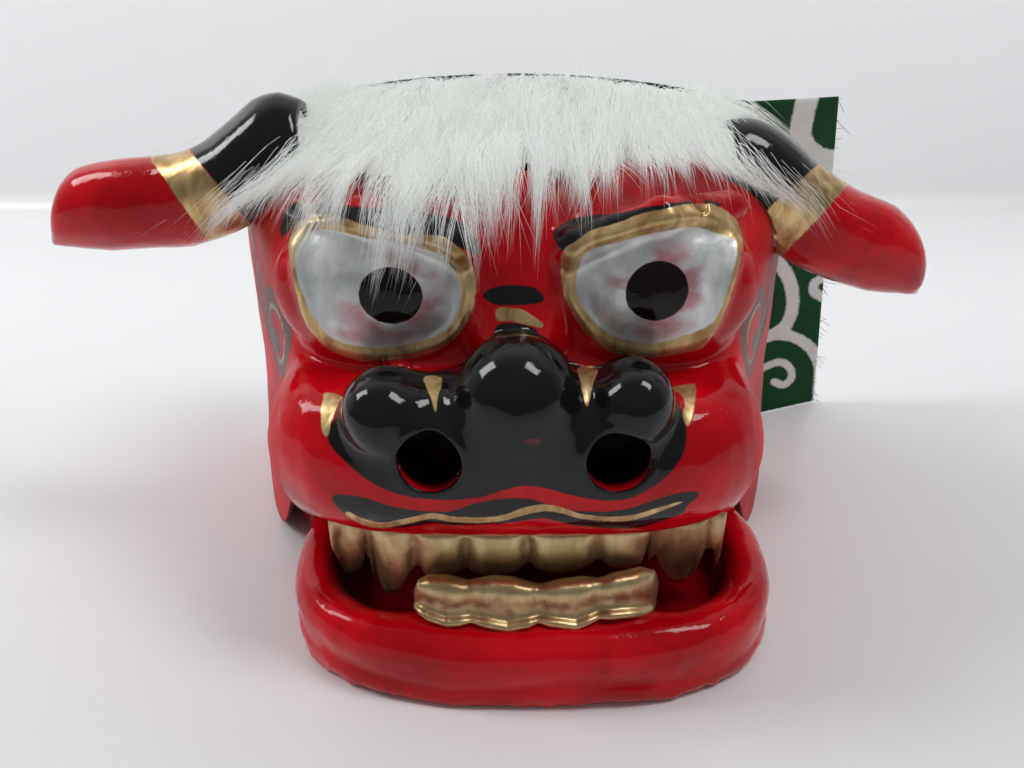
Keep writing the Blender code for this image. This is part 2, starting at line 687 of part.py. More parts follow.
def add_ear(name, side, root, droop, yaw, finish, grow=None):
    """One ear: a half shell, round in front and open behind, that narrows to a small nib.

    With grow it is a filled and larger copy, which clears room for the shell.
    """
    along = np.array([side * math.cos(droop) * math.cos(yaw), math.sin(yaw), -math.sin(droop)])
    along = along / np.linalg.norm(along)
    front = np.array([0.0, -1.0, 0.12])
    front = front - along * (front @ along)
    front = front / np.linalg.norm(front)
    up = np.cross(along, front) * side * -1
    up = up if up[2] > 0 else -up
    points, faces = [], []
    for share, wide, deep, rise in EAR_SECTIONS:
        middle = np.array(root) + along * EAR_LENGTH * share + up * EAR_WIDTH * rise
        half, depth = EAR_WIDTH * wide / 2, EAR_DEPTH * deep
        wall = min(EAR_WALL, half * EAR_NIB, depth * EAR_NIB)
        for inset in (0.0, wall) if grow is None else (-grow,):
            turns = np.linspace(-EAR_WRAP, EAR_WRAP, EAR_ROUND)
            for turn in turns if inset <= 0 else turns[::-1]:
                across = (half - inset) * math.sin(turn)
                out = (depth - inset) * math.cos(turn)
                points.append(middle + up * across + front * out)
    ring = 2 * EAR_ROUND if grow is None else EAR_ROUND
    for i in range(len(EAR_SECTIONS) - 1):
        for j in range(ring):
            nxt = (j + 1) % ring
            faces.append([i * ring + j, i * ring + nxt, (i + 1) * ring + nxt, (i + 1) * ring + j])
    for first in (0, (len(EAR_SECTIONS) - 1) * ring):
        if grow is not None:
            faces.append(list(range(first, first + ring)))
            continue
        for j in range(EAR_ROUND - 1):
            faces.append([first + j, first + j + 1, first + ring - 2 - j, first + ring - 1 - j])
    return add_object(name, points, faces, finish)


EARS = {
    # name: (side, root x as a share of half the head's width, root z as a share of its height, droop, yaw)
    "ear_left": (-1, 0.705, 0.878, math.radians(9), math.radians(2)),
    "ear_right": (1, 0.679, 0.844, math.radians(20), math.radians(10)),
}
EAR_ROOT_Y = FACE_Y + 0.52 * (WIDEST_Y - FACE_Y)
EAR_NIB = 0.55


def add_ears(finish, forelock):
    points, faces = head_body(SEAT_GAP * 1.3, -SEAT_CUT_DEPTH, 2)
    seat = as_cutter(add_object("head_seat_cutter", points, faces, finish))
    cut(forelock, seat)
    for name, (side, x, z, droop, yaw) in EARS.items():
        place = side, (side * x * HEAD_WIDTH / 2, EAR_ROOT_Y, z * CROWN_Z), droop, yaw, finish
        cut(add_ear(name, *place), seat)
        cut(forelock, as_cutter(add_ear(name + "_cutter", *place, grow=2 * SEAT_GAP)))


# The forelock

FUR_COLUMNS_PER_LOCK = 3
FUR_ROWS = 8
FUR_SPAN = HEAD_WIDTH * 0.29
FUR_AXIS = (WIDEST_Y * 0.577, CORE["top"])
FUR_BACK = math.radians(-26)
FUR_TIPS = [math.radians(turn) for turn in (54, 59, 64, 71, 67, 69, 64, 58, 54, 54, 52)]
FUR_NOTCH = math.radians(7)


def halfway(grid, step_column, step_row):
    """Each point of a grid moved halfway to a neighbour, and left in place at the border."""
    padded = np.pad(grid, ((1, 1), (1, 1), (0, 0)), mode="edge")
    columns, rows = grid.shape[:2]
    near = padded[1 + step_column : 1 + step_column + columns, 1 + step_row : 1 + step_row + rows]
    return (grid + near) / 2


def add_forelock(finish):
    """A strip of fur across the crown, as locks that lie forward over the brow and fan out at the ends."""
    columns = FUR_LOCKS * FUR_COLUMNS_PER_LOCK
    shape = (columns + 1, FUR_ROWS + 1)
    inner, directions, heights = np.zeros((*shape, 3)), np.zeros((*shape, 3)), np.zeros(shape)
    for i in range(columns + 1):
        across = 2 * i / columns - 1
        lock = min(i // FUR_COLUMNS_PER_LOCK, FUR_LOCKS - 1)
        in_lock = abs(2 * (i / FUR_COLUMNS_PER_LOCK - lock) - 1)
        end = FUR_TIPS[lock % len(FUR_TIPS)] - FUR_NOTCH * in_lock**2
        for j in range(FUR_ROWS + 1):
            along = j / FUR_ROWS
            turn = FUR_BACK + (end - FUR_BACK) * along
            fan = across * abs(across) * (0.05 + 0.45 * along)
            inner[i, j] = (FUR_SPAN * across, *FUR_AXIS)
            directions[i, j] = (fan, -math.sin(turn), math.cos(turn))
            body = math.sin(math.pi * (0.10 + 0.86 * along)) ** 0.55
            side = 1 - 0.75 * abs(across) ** 6
            heights[i, j] = FUR_HEIGHT * body * side * (1 - 0.32 * in_lock * smooth_step((along - 0.2) / 0.5))
    heights[:, -1] = FUR_TIP_EDGE
    heights[:, 0] = FUR_BACK_EDGE
    outer = inner + FUR_REACH * directions
    seat = meet(inner, outer, FUR_SEAT)
    for i in range(9):
        beside = halfway(inner, i // 3 - 1, i % 3 - 1)
        towards = halfway(directions, i // 3 - 1, i % 3 - 1)
        seat = np.maximum(seat, meet(beside, beside + FUR_REACH * towards, FUR_SEAT))
    under = inner + seat[..., None] * (outer - inner)
    over = inner + (seat + heights / FUR_REACH)[..., None] * (outer - inner)
    points = [*under.reshape(-1, 3), *over.reshape(-1, 3)]
    step, first = FUR_ROWS + 1, (columns + 1) * (FUR_ROWS + 1)
    faces = []
    for i in range(columns):
        for j in range(FUR_ROWS):
            ring = [i * step + j, (i + 1) * step + j, (i + 1) * step + j + 1, i * step + j + 1]
            faces += [ring, [first + k for k in reversed(ring)]]
    border = [i * step for i in range(columns + 1)]
    border += [columns * step + j for j in range(1, FUR_ROWS + 1)]
    border += [i * step + FUR_ROWS for i in range(columns - 1, -1, -1)]
    border += [j for j in range(FUR_ROWS - 1, 0, -1)]
    for a, b in zip(border, border[1:] + border[:1]):
        faces.append([a, b, first + b, first + a])
    return add_object("forelock", points, faces, finish)


# The cape

CAPE_COLUMNS = 27
CAPE_DROPS = 7


def add_cape(finish):
    """A cloth panel on the back rim, with a flap that stands out past the viewer's right side."""
    half = HEAD_WIDTH / 2
    start, end = -half * 0.985, half * 0.97
    points = []
    back = BACK_RIM_Y + SEAT_GAP
    for side in (0.0, CAPE_THICK):
        for i in range(CAPE_COLUMNS + 1):
            share = i / CAPE_COLUMNS
            run = share * (end - start + CAPE_FLAP)
            x = start + min(run, end - start)
            past = max(run - (end - start), 0.0)
            out = past / CAPE_FLAP
            top = CROWN_Z + SHELL_WALL - CROWN_DROP * min((x / half) ** 2, 0.93)
            for j in range(CAPE_DROPS + 1):
                down = j / CAPE_DROPS
                fold = CAPE_PLEAT * (0.5 - 0.5 * math.cos(2 * math.pi * 5 * min(run / (end - start), 1)))
                hang = smooth_step((down - 0.08) / 0.6)
                y = back + side + fold * hang + past * 0.45
                spread = 1 + 0.05 * down
                z = top * (1 - down) + SEAT_GAP * down
                points.append((x * spread + past * 0.9, y, z))
    step, first = CAPE_DROPS + 1, (CAPE_COLUMNS + 1) * (CAPE_DROPS + 1)
    faces = []
    for i in range(CAPE_COLUMNS):
        for j in range(CAPE_DROPS):
            ring = [i * step + j, (i + 1) * step + j, (i + 1) * step + j + 1, i * step + j + 1]
            faces += [ring, [first + k for k in reversed(ring)]]
    border = [i * step for i in range(CAPE_COLUMNS + 1)]
    border += [CAPE_COLUMNS * step + j for j in range(1, CAPE_DROPS + 1)]
    border += [i * step + CAPE_DROPS for i in range(CAPE_COLUMNS - 1, -1, -1)]
    border += [j for j in range(CAPE_DROPS - 1, 0, -1)]
    for a, b in zip(border, border[1:] + border[:1]):
        faces.append([a, b, first + b, first + a])
    return add_object("cape", points, faces, finish)


def main():
    for thing in list(bpy.data.objects):
        bpy.data.objects.remove(thing)
    red = material("red_lacquer", (0.55, 0.01, 0.015), 0.15)
    gold = material("gold_paint", (0.55, 0.40, 0.17), 0.35, 0.8)
    ear_red = material("ear_lacquer", (0.45, 0.01, 0.015), 0.15)
    bamboo = material("bamboo", (0.10, 0.06, 0.03), 0.6)
    fur = material("white_fur", (0.85, 0.86, 0.83), 0.9)
    cloth = material("green_cotton", (0.03, 0.13, 0.06), 0.85)
    add_head(red)
    add_hinge_rod(bamboo)
    add_jaw(red)
    add_upper_teeth(gold)
    add_lower_teeth(gold)
    add_ears(ear_red, add_forelock(fur))
    add_cape(cloth)


main()
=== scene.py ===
"""A papier-mache lion dance head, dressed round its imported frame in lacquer, gold, silver, fur and cloth."""

import math

import bmesh
import bpy
import numpy as np
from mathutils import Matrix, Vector, noise
from mathutils.bvhtree import BVHTree


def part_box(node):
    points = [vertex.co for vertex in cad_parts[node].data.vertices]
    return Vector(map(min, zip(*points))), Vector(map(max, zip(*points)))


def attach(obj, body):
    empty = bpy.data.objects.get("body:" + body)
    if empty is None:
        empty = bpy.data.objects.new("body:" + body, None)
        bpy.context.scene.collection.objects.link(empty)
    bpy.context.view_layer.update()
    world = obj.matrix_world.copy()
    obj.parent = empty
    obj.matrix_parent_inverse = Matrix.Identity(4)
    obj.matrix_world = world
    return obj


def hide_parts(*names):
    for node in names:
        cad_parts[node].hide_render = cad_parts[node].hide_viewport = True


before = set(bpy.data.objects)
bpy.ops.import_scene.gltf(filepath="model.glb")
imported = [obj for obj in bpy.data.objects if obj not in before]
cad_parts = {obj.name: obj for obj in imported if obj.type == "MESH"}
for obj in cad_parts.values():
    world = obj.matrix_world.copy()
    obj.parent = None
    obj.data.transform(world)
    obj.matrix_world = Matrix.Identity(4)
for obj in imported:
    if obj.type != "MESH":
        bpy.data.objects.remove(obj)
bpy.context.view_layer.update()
bpy.ops.object.select_all(action="DESELECT")


# The view and the table: a white sheet that runs from the table top up behind the head, lit by two
# tall windows in front and by a pale room.

bpy.ops.object.camera_add(location=(-0.0013, -0.285, 0.2025), rotation=(math.radians(65), 0, 0))
camera = bpy.context.object
camera.data.lens = 27.7
camera.data.sensor_width = 36
camera.data.clip_start = 0.01
bpy.context.scene.camera = camera
bpy.context.scene.view_settings.view_transform = "Standard"


def shape_by(piece, kind, **settings):
    """Adds a modifier with these settings to a piece and applies it."""
    modifier = piece.modifiers.new(kind.lower(), kind)
    for key, value in settings.items():
        setattr(modifier, key, value)
    bpy.context.view_layer.objects.active = piece
    bpy.ops.object.modifier_apply(modifier=modifier.name)


bpy.ops.mesh.primitive_plane_add(size=1, location=(0, -0.35, -0.0004))
table_sheet = bpy.context.object
table_sheet.name = "table_sheet"
table_sheet.scale = (3.6, 1.9, 1)
bpy.ops.object.transform_apply(location=True, rotation=True, scale=True)
bpy.ops.object.mode_set(mode="EDIT")
bpy.ops.mesh.select_all(action="DESELECT")
bpy.ops.object.mode_set(mode="OBJECT")
for edge in table_sheet.data.edges:
    edge.select = all(table_sheet.data.vertices[v].co.y > 0.5 for v in edge.vertices)
for vertex in table_sheet.data.vertices:
    vertex.select = vertex.co.y > 0.5
bpy.ops.object.mode_set(mode="EDIT")
bpy.ops.mesh.extrude_region_move(TRANSFORM_OT_translate={"value": (0, 0, 1.4)})
bpy.ops.object.mode_set(mode="OBJECT")
shape_by(table_sheet, "BEVEL", width=0.035, segments=10)
bpy.ops.object.shade_smooth()
bpy.ops.object.select_all(action="DESELECT")


def put_in(name, data):
    """A new object in the scene, with this mesh or light."""
    made = bpy.data.objects.new(name, data)
    bpy.context.scene.collection.objects.link(made)
    return made


def add_window(name, place, width, height, power, aim=(0, -0.02, 0.09)):
    """A soft tall window that faces the head, or another aim."""
    light = bpy.data.lights.new(name, "AREA")
    light.shape = "RECTANGLE"
    light.size = width
    light.size_y = height
    light.energy = power
    lamp = put_in(name, light)
    lamp.location = place
    lamp.rotation_euler = (Vector(aim) - Vector(place)).to_track_quat("-Z", "Y").to_euler()


add_window("window_left", (-1.28, 0.10, 1.20), 0.40, 0.76, 9.2)
add_window("window_right", (0.79, -0.24, 1.59), 0.40, 0.76, 9.2)
add_window("wall_light", (0, 0.10, 0.42), 2.6, 0.2, 2.25, (0, 0.60, 0.34))

room = bpy.data.worlds.new("room")
room.use_nodes = True
bpy.context.scene.world = room


class Wire:
    """One shader socket. Arithmetic on it adds Math nodes, and node() adds any other node."""

    def __init__(self, tree, socket=None):
        self.tree = tree
        self.socket = socket

    def node(self, kind, settings=None, values=None, output=0):
        made = self.tree.nodes.new("ShaderNode" + kind)
        for key, value in (settings or {}).items():
            if key == "stops":
                for k, (place, colour) in enumerate(value):
                    stop = made.color_ramp.elements[k] if k < 2 else made.color_ramp.elements.new(place)
                    stop.position = place
                    stop.color = (*colour, 1)
            else:
                setattr(made, key, value)
        for key, value in (values or {}).items():
            if isinstance(value, Wire):
                self.tree.links.new(value.socket, made.inputs[key])
            else:
                made.inputs[key].default_value = value
        return Wire(self.tree, made.outputs[output])

    def maths(self, operation, *terms):
        return self.node("Math", {"operation": operation}, dict(enumerate(terms)))

    def __add__(self, other):
        return self.maths("ADD", self, other)

    def __sub__(self, other):
        return self.maths("SUBTRACT", self, other)

    def __rsub__(self, other):
        return self.maths("SUBTRACT", other, self)

    def __mul__(self, other):
        return self.maths("MULTIPLY", self, other)

    __radd__ = __add__
    __rmul__ = __mul__

    def clamped(self):
        return self.node("Math", {"operation": "ADD", "use_clamp": True}, {0: self, 1: 0.0})

    def step(self, low, high):
        """0 below low and 1 above high, or the other way round, with a smooth change between."""
        if low > high:
            return 1 - self.step(high, low)
        values = {"Value": self, "From Min": low, "From Max": high}
        return self.node("MapRange", {"interpolation_type": "SMOOTHSTEP"}, values)

    def mixed(self, low, high):
        """A colour that runs from low to high as this wire runs from 0 to 1."""
        low, high = (c if isinstance(c, Wire) else (*c, 1) for c in (low, high))
        return self.node("Mix", {"data_type": "RGBA"}, {0: self, 6: low, 7: high}, 2)


sky = Wire(room.node_tree)
upwards = sky.node("SeparateXYZ", None, {0: sky.node("TexCoord")}, 2)
forwards = sky.node("SeparateXYZ", None, {0: sky.node("TexCoord")}, 1)
brightness = (0.19 + 0.80 * forwards.step(-0.15, 0.8)) * (0.8 + 0.4 * upwards.step(-0.1, 0.9))
room.node_tree.links.new(brightness.socket, room.node_tree.nodes["Background"].inputs["Strength"])
room.node_tree.nodes["Background"].inputs["Color"].default_value = (0.93, 0.96, 1.0, 1)


def new_finish(name, roughness=0.5, **fixed):
    """A material, and a wire that adds nodes to it. fixed sets sockets that are the same all over."""
    made = bpy.data.materials.new(name)
    made.use_nodes = True
    shader = made.node_tree.nodes["Principled BSDF"]
    shader.inputs["Roughness"].default_value = roughness
    for key, value in fixed.items():
        shader.inputs[key.replace("_", " ")].default_value = value
    return made, Wire(made.node_tree)


def join(made, **wires):
    """Links wires to the material's shader sockets."""
    shader = made.node_tree.nodes["Principled BSDF"]
    for key, wire in wires.items():
        made.node_tree.links.new(wire.socket, shader.inputs[key.replace("_", " ")])


def grain(wire, scale, detail=2.0, stretch=(1, 1, 1), distortion=0.0):
    """Noise on the piece's own place in metres, from 0 to 1."""
    place = wire.node("TexCoord", output=3)
    if stretch != (1, 1, 1):
        place = wire.node("VectorMath", {"operation": "MULTIPLY"}, {0: place, 1: stretch})
    values = {"Vector": place, "Scale": scale, "Detail": detail, "Distortion": distortion}
    return wire.node("TexNoise", None, values)


def bumped(wire, height, distance, strength=1.0):
    return wire.node("Bump", None, {"Height": height, "Distance": distance, "Strength": strength})


sheet_finish, wire = new_finish("table_white", 0.30)
join(sheet_finish, Base_Color=grain(wire, 5).mixed((0.88, 0.885, 0.895), (0.92, 0.925, 0.935)))
table_sheet.data.materials.append(sheet_finish)


# The head: a shell of paper pasted over a mould, with brow, eyes, nose, cheeks and lip in one skin. It is
# lacquered red, then the nose, brow and lip line are painted black, the eyes silvered and the rims gilded.


def smooth_step(value):
    value = np.clip(value, 0.0, 1.0)
    return value * value * (3 - 2 * value)


def smooth_min(a, b, radius):
    share = np.clip(0.5 + 0.5 * (b - a) / radius, 0.0, 1.0)
    return b + (a - b) * share - radius * share * (1 - share)


def smooth_max(a, b, radius):
    return -smooth_min(-a, -b, radius)


def mirrored(points):
    """The points, with those on the left brought to the right, so that what is measured is on both sides."""
    return np.stack([np.abs(points[:, 0]), points[:, 1], points[:, 2]], -1)


def ball_distance(points, centre, radii):
    """Distance to an ellipsoid, negative inside."""
    scaled = (points - np.array(centre)) / np.array(radii)
    near = np.linalg.norm(scaled, axis=-1)
    return near * (near - 1) / np.maximum(np.linalg.norm(scaled / np.array(radii), axis=-1), 1e-9)


def bar_distance(points, start, end, radius):
    """Distance to a round-ended bar and to its mirror image, negative inside."""
    local = mirrored(points)
    start, run = np.array(start), np.array(end) - np.array(start)
    share = np.clip(((local - start) @ run) / (run @ run), 0, 1)
    return np.linalg.norm(local - start - share[:, None] * run, axis=-1) - radius


STEP = 1e-5


def face_distance(points):
    """Distance to the mould's surface without the nose."""
    x, y, z = points.T
    spread = smooth_step((y + 0.052) / 0.104)
    flare = 0.0055 * (1 - smooth_step(z / 0.074)) * smooth_step((y + 0.052) / 0.052)
    side = (np.abs(x) - (0.158 + 0.066 * spread) / 2 - flare) * 0.92
    top = z - (0.152 + 0.024 * spread - 0.013 * (x / 0.112) ** 2)
    front = (-0.052 + 0.10 * (z - 0.1235) + 0.012 * (x / 0.079) ** 2 - y) * 0.96
    skin = smooth_max(smooth_max(side, front, 0.026), top, 0.024)
    lip = np.sqrt(((y + 0.068 - 0.018 * (x / 0.075) ** 4) / 0.021) ** 2 + ((z - 0.074) / 0.024) ** 2)
    skin = smooth_min(skin, smooth_max((lip - 1) * 0.021, np.abs(x) - 0.075, 0.012), 0.014)
    cheek = ball_distance(mirrored(points), (0.0668, -0.049, 0.075), (0.0150, 0.024, 0.0215))
    jowl = ball_distance(mirrored(points), (0.0678, -0.046, 0.0655), (0.0125, 0.019, 0.024))
    skin = smooth_min(skin, smooth_min(cheek, jowl, 0.010), 0.005)
    bridge = bar_distance(points, (0, -0.055, 0.1135), (0, -0.040, 0.148), 0.0125)
    skin = smooth_min(skin, bridge, 0.008)
    eye = ball_distance(mirrored(points), (0.045, -0.0415, 0.1235), (0.033, 0.0165, 0.0255))
    skin = smooth_min(skin, eye, 0.005)
    middle_brow = (0.043, -0.051, 0.150)
    inner_half = bar_distance(points, (0.017, -0.053, 0.1405), middle_brow, 0.0042)
    outer_half = bar_distance(points, middle_brow, (0.071, -0.034, 0.149), 0.0042)
    brow = smooth_min(inner_half, outer_half, 0.003)
    return smooth_min(skin, brow, 0.007)


def nose_distance(points):
    """Distance to the nose: a ball between two unequal wings on a broad flat base."""
    left_wing = ball_distance(points, (-0.0388, -0.0745, 0.0955), (0.0134, 0.0150, 0.0132))
    right_wing = ball_distance(points, (0.0345, -0.0745, 0.0985), (0.0126, 0.0150, 0.0130))
    tip = ball_distance(points, (0, -0.0755, 0.1010), (0.0178, 0.0185, 0.0185))
    base = ball_distance(points, (-0.0012, -0.0690, 0.0858), (0.0535, 0.0218, 0.0205))
    wings = smooth_min(left_wing, right_wing, 0.001)
    return smooth_min(smooth_min(wings, tip, 0.0045), base, 0.0068)


def mould_distance(points):
    return smooth_min(face_distance(points), nose_distance(points), 0.0030)


def points_of(piece, kind="co"):
    """The places of a piece's points, or their normals."""
    found = np.zeros(len(piece.data.vertices) * 3)
    piece.data.vertices.foreach_get(kind, found)
    return found.reshape(-1, 3)


def normals_of(piece):
    return points_of(piece, "normal")


def move_points(piece, points):
    piece.data.vertices.foreach_set("co", points.ravel())
    piece.data.update()


def lumps(points, size, shift=0.0):
    """Smooth noise from about -1 to 1, with lumps of about this size in metres."""
    return np.array([noise.noise(Vector(p) / size + Vector((shift, shift, shift))) for p in points])


def copy_of(node, name, levels, sharp=math.radians(55), crease=0.6):
    """A piece of its own that starts as a frame node, with its doubles merged, and rounded by subdivision."""
    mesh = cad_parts[node].data.copy()
    mesh.materials.clear()
    piece = put_in(name, mesh)
    bpy.context.view_layer.objects.active = piece
    piece.select_set(True)
    bpy.ops.object.mode_set(mode="EDIT")
    bpy.ops.mesh.select_all(action="SELECT")
    bpy.ops.mesh.customdata_custom_splitnormals_clear()
    bpy.ops.mesh.remove_doubles(threshold=1e-6)
    bpy.ops.mesh.tris_convert_to_quads(face_threshold=math.radians(70), shape_threshold=math.radians(70))
    bpy.ops.mesh.mark_sharp(clear=True)
    bpy.ops.object.mode_set(mode="OBJECT")
    shaped = bmesh.new()
    shaped.from_mesh(mesh)
    creases = shaped.edges.layers.float.new("crease_edge")
    for edge in shaped.edges:
        if len(edge.link_faces) == 2 and edge.calc_face_angle() > sharp:
            edge[creases] = crease
    shaped.to_mesh(mesh)
    shaped.free()
    if levels:
        shape_by(piece, "SUBSURF", levels=levels, render_levels=levels)
    piece.data.shade_smooth()
    piece.select_set(False)
    return piece


def mould_slope(points):
    """The direction in which the distance to the mould grows."""
    level = mould_distance(points)
    return np.stack([(mould_distance(points + STEP * axis) - level) / STEP for axis in np.eye(3)], -1)


# The outer skin's faces look away from the mould by at least this share, and lie no deeper than this
FACES_OUT = 0.25
SKIN_DEPTH = 0.0045


def mark_skin(piece):
    """Gives material 0 to the outer skin, whose faces look away from the mould, and 1 to the rest."""
    middles = np.array([face.center for face in piece.data.polygons])
    facing = (mould_slope(middles) * np.array([face.normal for face in piece.data.polygons])).sum(1)
    shell = mould_distance(middles)
    for face, turned, depth in zip(piece.data.polygons, facing, shell):
        face.material_index = int(turned < FACES_OUT or depth < -SKIN_DEPTH)
    # The largest patch of each is the skin, and the stray ones join the other
    shaped = bmesh.new()
    shaped.from_mesh(piece.data)
    for material in (1, 0):
        left = {face for face in shaped.faces if face.material_index == material}
        patches = []
        while left:
            patch, front = set(), [left.pop()]
            while front:
                face = front.pop()
                patch.add(face)
                beside = {other for edge in face.edges for other in edge.link_faces} & left
                left -= beside
                front.extend(beside)
            patches.append(patch)
        for patch in sorted(patches, key=len)[:-1]:
            for face in patch:
                face.material_index = 1 - material
    shaped.to_mesh(piece.data)
    shaped.free()


head = copy_of("head_shell", "lacquered_head", 0, sharp=math.radians(78))
NOSTRILS = ((-0.0253, 0.0855), (0.0298, 0.0855))
NOSTRIL_RADIUS = 0.0097
# The frame's own bores are a little narrower
FRAME_BORE_RADIUS = 0.00944


def bore_radius(place):
    """Distance from the nearer nostril's axis."""
    return min(math.hypot(place.x - x, place.z - z) for x, z in NOSTRILS)


# The nostrils are closed while the skin is shaped, and are bored again afterwards
shaped = bmesh.new()
shaped.from_mesh(head.data)
bores = [
    face for face in shaped.faces
    if face.calc_center_median().y < 0 and abs(face.normal.y) < 0.5
    and all(abs(bore_radius(corner.co) - FRAME_BORE_RADIUS) < 0.00012 for corner in face.verts)
]
bmesh.ops.delete(shaped, geom=bores, context="FACES_ONLY")
bmesh.ops.delete(shaped, geom=[edge for edge in shaped.edges if edge.is_wire], context="EDGES")
open_edges = [edge for edge in shaped.edges if edge.is_boundary]
caps = bmesh.ops.holes_fill(shaped, edges=open_edges, sides=0)["faces"]
bmesh.ops.poke(shaped, faces=caps)
shaped.to_mesh(head.data)
shaped.free()
mark_skin(head)
shape_by(head, "SUBSURF", levels=2, render_levels=2)

# The face has finer facets than the walls, for the nose, the eyes and the edges of the paint
FACE_HALF_WIDTH, FACE_DEPTH, FACE_FOOT, FACE_TOP = 0.066, -0.043, 0.052, 0.153
shaped = bmesh.new()
shaped.from_mesh(head.data)
face_edges = set()
for face in shaped.faces:
    middle = face.calc_center_median()
    in_face = abs(middle.x) < FACE_HALF_WIDTH and FACE_FOOT < middle.z < FACE_TOP
    if face.material_index == 0 and middle.y < FACE_DEPTH and in_face:
        face_edges.update(face.edges)
face_edges = [edge for edge in shaped.edges if edge in face_edges]
bmesh.ops.subdivide_edges(shaped, edges=face_edges, cuts=1, use_grid_fill=True)
bmesh.ops.triangulate(shaped, faces=[face for face in shaped.faces if len(face.verts) > 4])
shaped.to_mesh(head.data)
shaped.free()


def touches(piece, material):
    """Which points touch a face of this material."""
    found = np.zeros(len(piece.data.vertices), bool)
    for face in piece.data.polygons:
        if face.material_index == material:
            found[list(face.vertices)] = True
    return found


# The outer skin is drawn to the mould in small steps, and evened out on the way
LONGEST_STEP = 0.0015
outer = np.where(touches(head, 1), 0.0, 1.0)
points = points_of(head)
ends = np.zeros(len(head.data.edges) * 2, int)
head.data.edges.foreach_get("vertices", ends)
ends = np.concatenate([ends.reshape(-1, 2), ends.reshape(-1, 2)[:, ::-1]])
beside_count = np.maximum(np.bincount(ends[:, 0], minlength=len(points)), 1)
for turn in range(9):
    if turn in (3, 5):
        mean = np.stack([np.bincount(ends[:, 0], points[ends[:, 1], k], len(points)) for k in range(3)], -1)
        evened = outer * smooth_step((-0.030 - points[:, 1]) / 0.01) * 0.6
        points = points + (mean / beside_count[:, None] - points) * evened[:, None]
    level, slope = mould_distance(points), mould_slope(points)
    move = level[:, None] * slope / np.maximum((slope**2).sum(1), 0.2)[:, None]
    length = np.maximum(np.linalg.norm(move, axis=1), 1e-9)
    points = points - move * (np.minimum(length, LONGEST_STEP) / length * outer)[:, None]
# The inner skin keeps at least this far behind the outer one
WALL = 0.0022
buried = ~touches(head, 0) & (points[:, 2] > 0.05) & (points[:, 1] < -0.02)
for _ in range(4):
    level, slope = mould_distance(points), mould_slope(points)
    sink = np.maximum(level + WALL, 0) * buried / np.maximum((slope**2).sum(1), 0.2)
    points = points - slope * sink[:, None]
move_points(head, points)

for x, z in NOSTRILS:
    bpy.ops.mesh.primitive_cylinder_add(
        vertices=72, radius=NOSTRIL_RADIUS, depth=0.07, location=(x, -0.091, z), rotation=(math.pi / 2, 0, 0))
    bit = bpy.context.object
    shape_by(head, "BOOLEAN", operation="DIFFERENCE", solver="EXACT", object=bit)
    bpy.data.objects.remove(bit)
head.data.shade_smooth()
in_nostril = np.zeros(len(head.data.vertices), bool)
for face in head.data.polygons:
    sideways = face.center.y < -0.05 and abs(face.normal.y) < 0.5
    if sideways and bore_radius(face.center) < NOSTRIL_RADIUS + 2e-5:
        face.material_index = 2
        in_nostril[list(face.vertices)] = True
points = points_of(head)
on_skin = touches(head, 0)
edge = np.flatnonzero(in_nostril & on_skin)
outer = np.where(touches(head, 1) | in_nostril, 0.0, 1.0)

# The painter's view: outlines are in millimetres on an upright plane through the nose, as seen from in front.
PAINTER = np.array((-0.0013, -0.285, 0.2025))
PAINT_Y = -0.060


def painted_place(points):
    share = (PAINT_Y - PAINTER[1]) / (points[:, 1] - PAINTER[1])
    place = PAINTER + share[:, None] * (points - PAINTER)
    return place[:, (0, 2)] * 1000


def smooth_line(line, closed, steps=4):
    """A line through the given points, rounded between them."""
    line = np.array(line, float)
    if closed:
        before, after, last = np.roll(line, 1, 0), np.roll(line, -1, 0), np.roll(line, -2, 0)
    else:
        line, last = line[:-1], np.concatenate([line[2:], line[-1:]])
        full = np.concatenate([line, last[-1:]])
        before, after = np.concatenate([full[:1], full[:-2]]), full[1:]
    out = []
    for k in range(steps):
        t = k / steps
        out.append(
            0.5 * (2 * line + (after - before) * t + (2 * before - 5 * line + 4 * after - last) * t**2
                   + (3 * line - before - 3 * after + last) * t**3)
        )
    out = np.stack(out, 1).reshape(-1, line.shape[1])
    return out if closed else np.concatenate([out, after[-1:]])


def shape_distance(spots, outline):
    """Signed distance in millimetres from each spot to a smooth closed outline, negative inside."""
    line = smooth_line(outline, True)
    nearest, inside = np.full(len(spots), 1e9), np.zeros(len(spots), bool)
    for a, b in zip(line, np.roll(line, -1, 0)):
        run = b - a
        share = np.clip((spots - a) @ run / max(run @ run, 1e-9), 0, 1)
        nearest = np.minimum(nearest, np.hypot(*(spots - a - share[:, None] * run).T))
        crosses = (a[1] > spots[:, 1]) != (b[1] > spots[:, 1])
        at = a[0] + (spots[:, 1] - a[1]) * run[0] / (run[1] if abs(run[1]) > 1e-9 else 1e-9)
        inside ^= crosses & (spots[:, 0] < at)
    return np.where(inside, -nearest, nearest)


def stroke_distance(spots, line, width):
    """Signed distance to a brush stroke along a smooth line. width is one number, or one for each point."""
    line = smooth_line(np.column_stack([line, np.broadcast_to(width, len(line))]), False)
    nearest = np.full(len(spots), 1e9)
    for a, b in zip(line[:-1], line[1:]):
        run = (b - a)[:2]
        share = np.clip((spots - a[:2]) @ run / max(run @ run, 1e-9), 0, 1)
        reach = np.hypot(*(spots - a[:2] - share[:, None] * run).T)
        nearest = np.minimum(nearest, reach - (a[2] + share * (b[2] - a[2])) / 2)
    return nearest


def nearest_shape(spots, outlines):
    """Signed distance to the nearest of some outlines, negative inside."""
    return np.min([shape_distance(spots, outline) for outline in outlines], axis=0)


def disc_distance(spots, middle, radius, tall=1.0):
    return (np.hypot(spots[:, 0] - middle[0], (spots[:, 1] - middle[1]) / tall) - radius) * min(tall, 1)


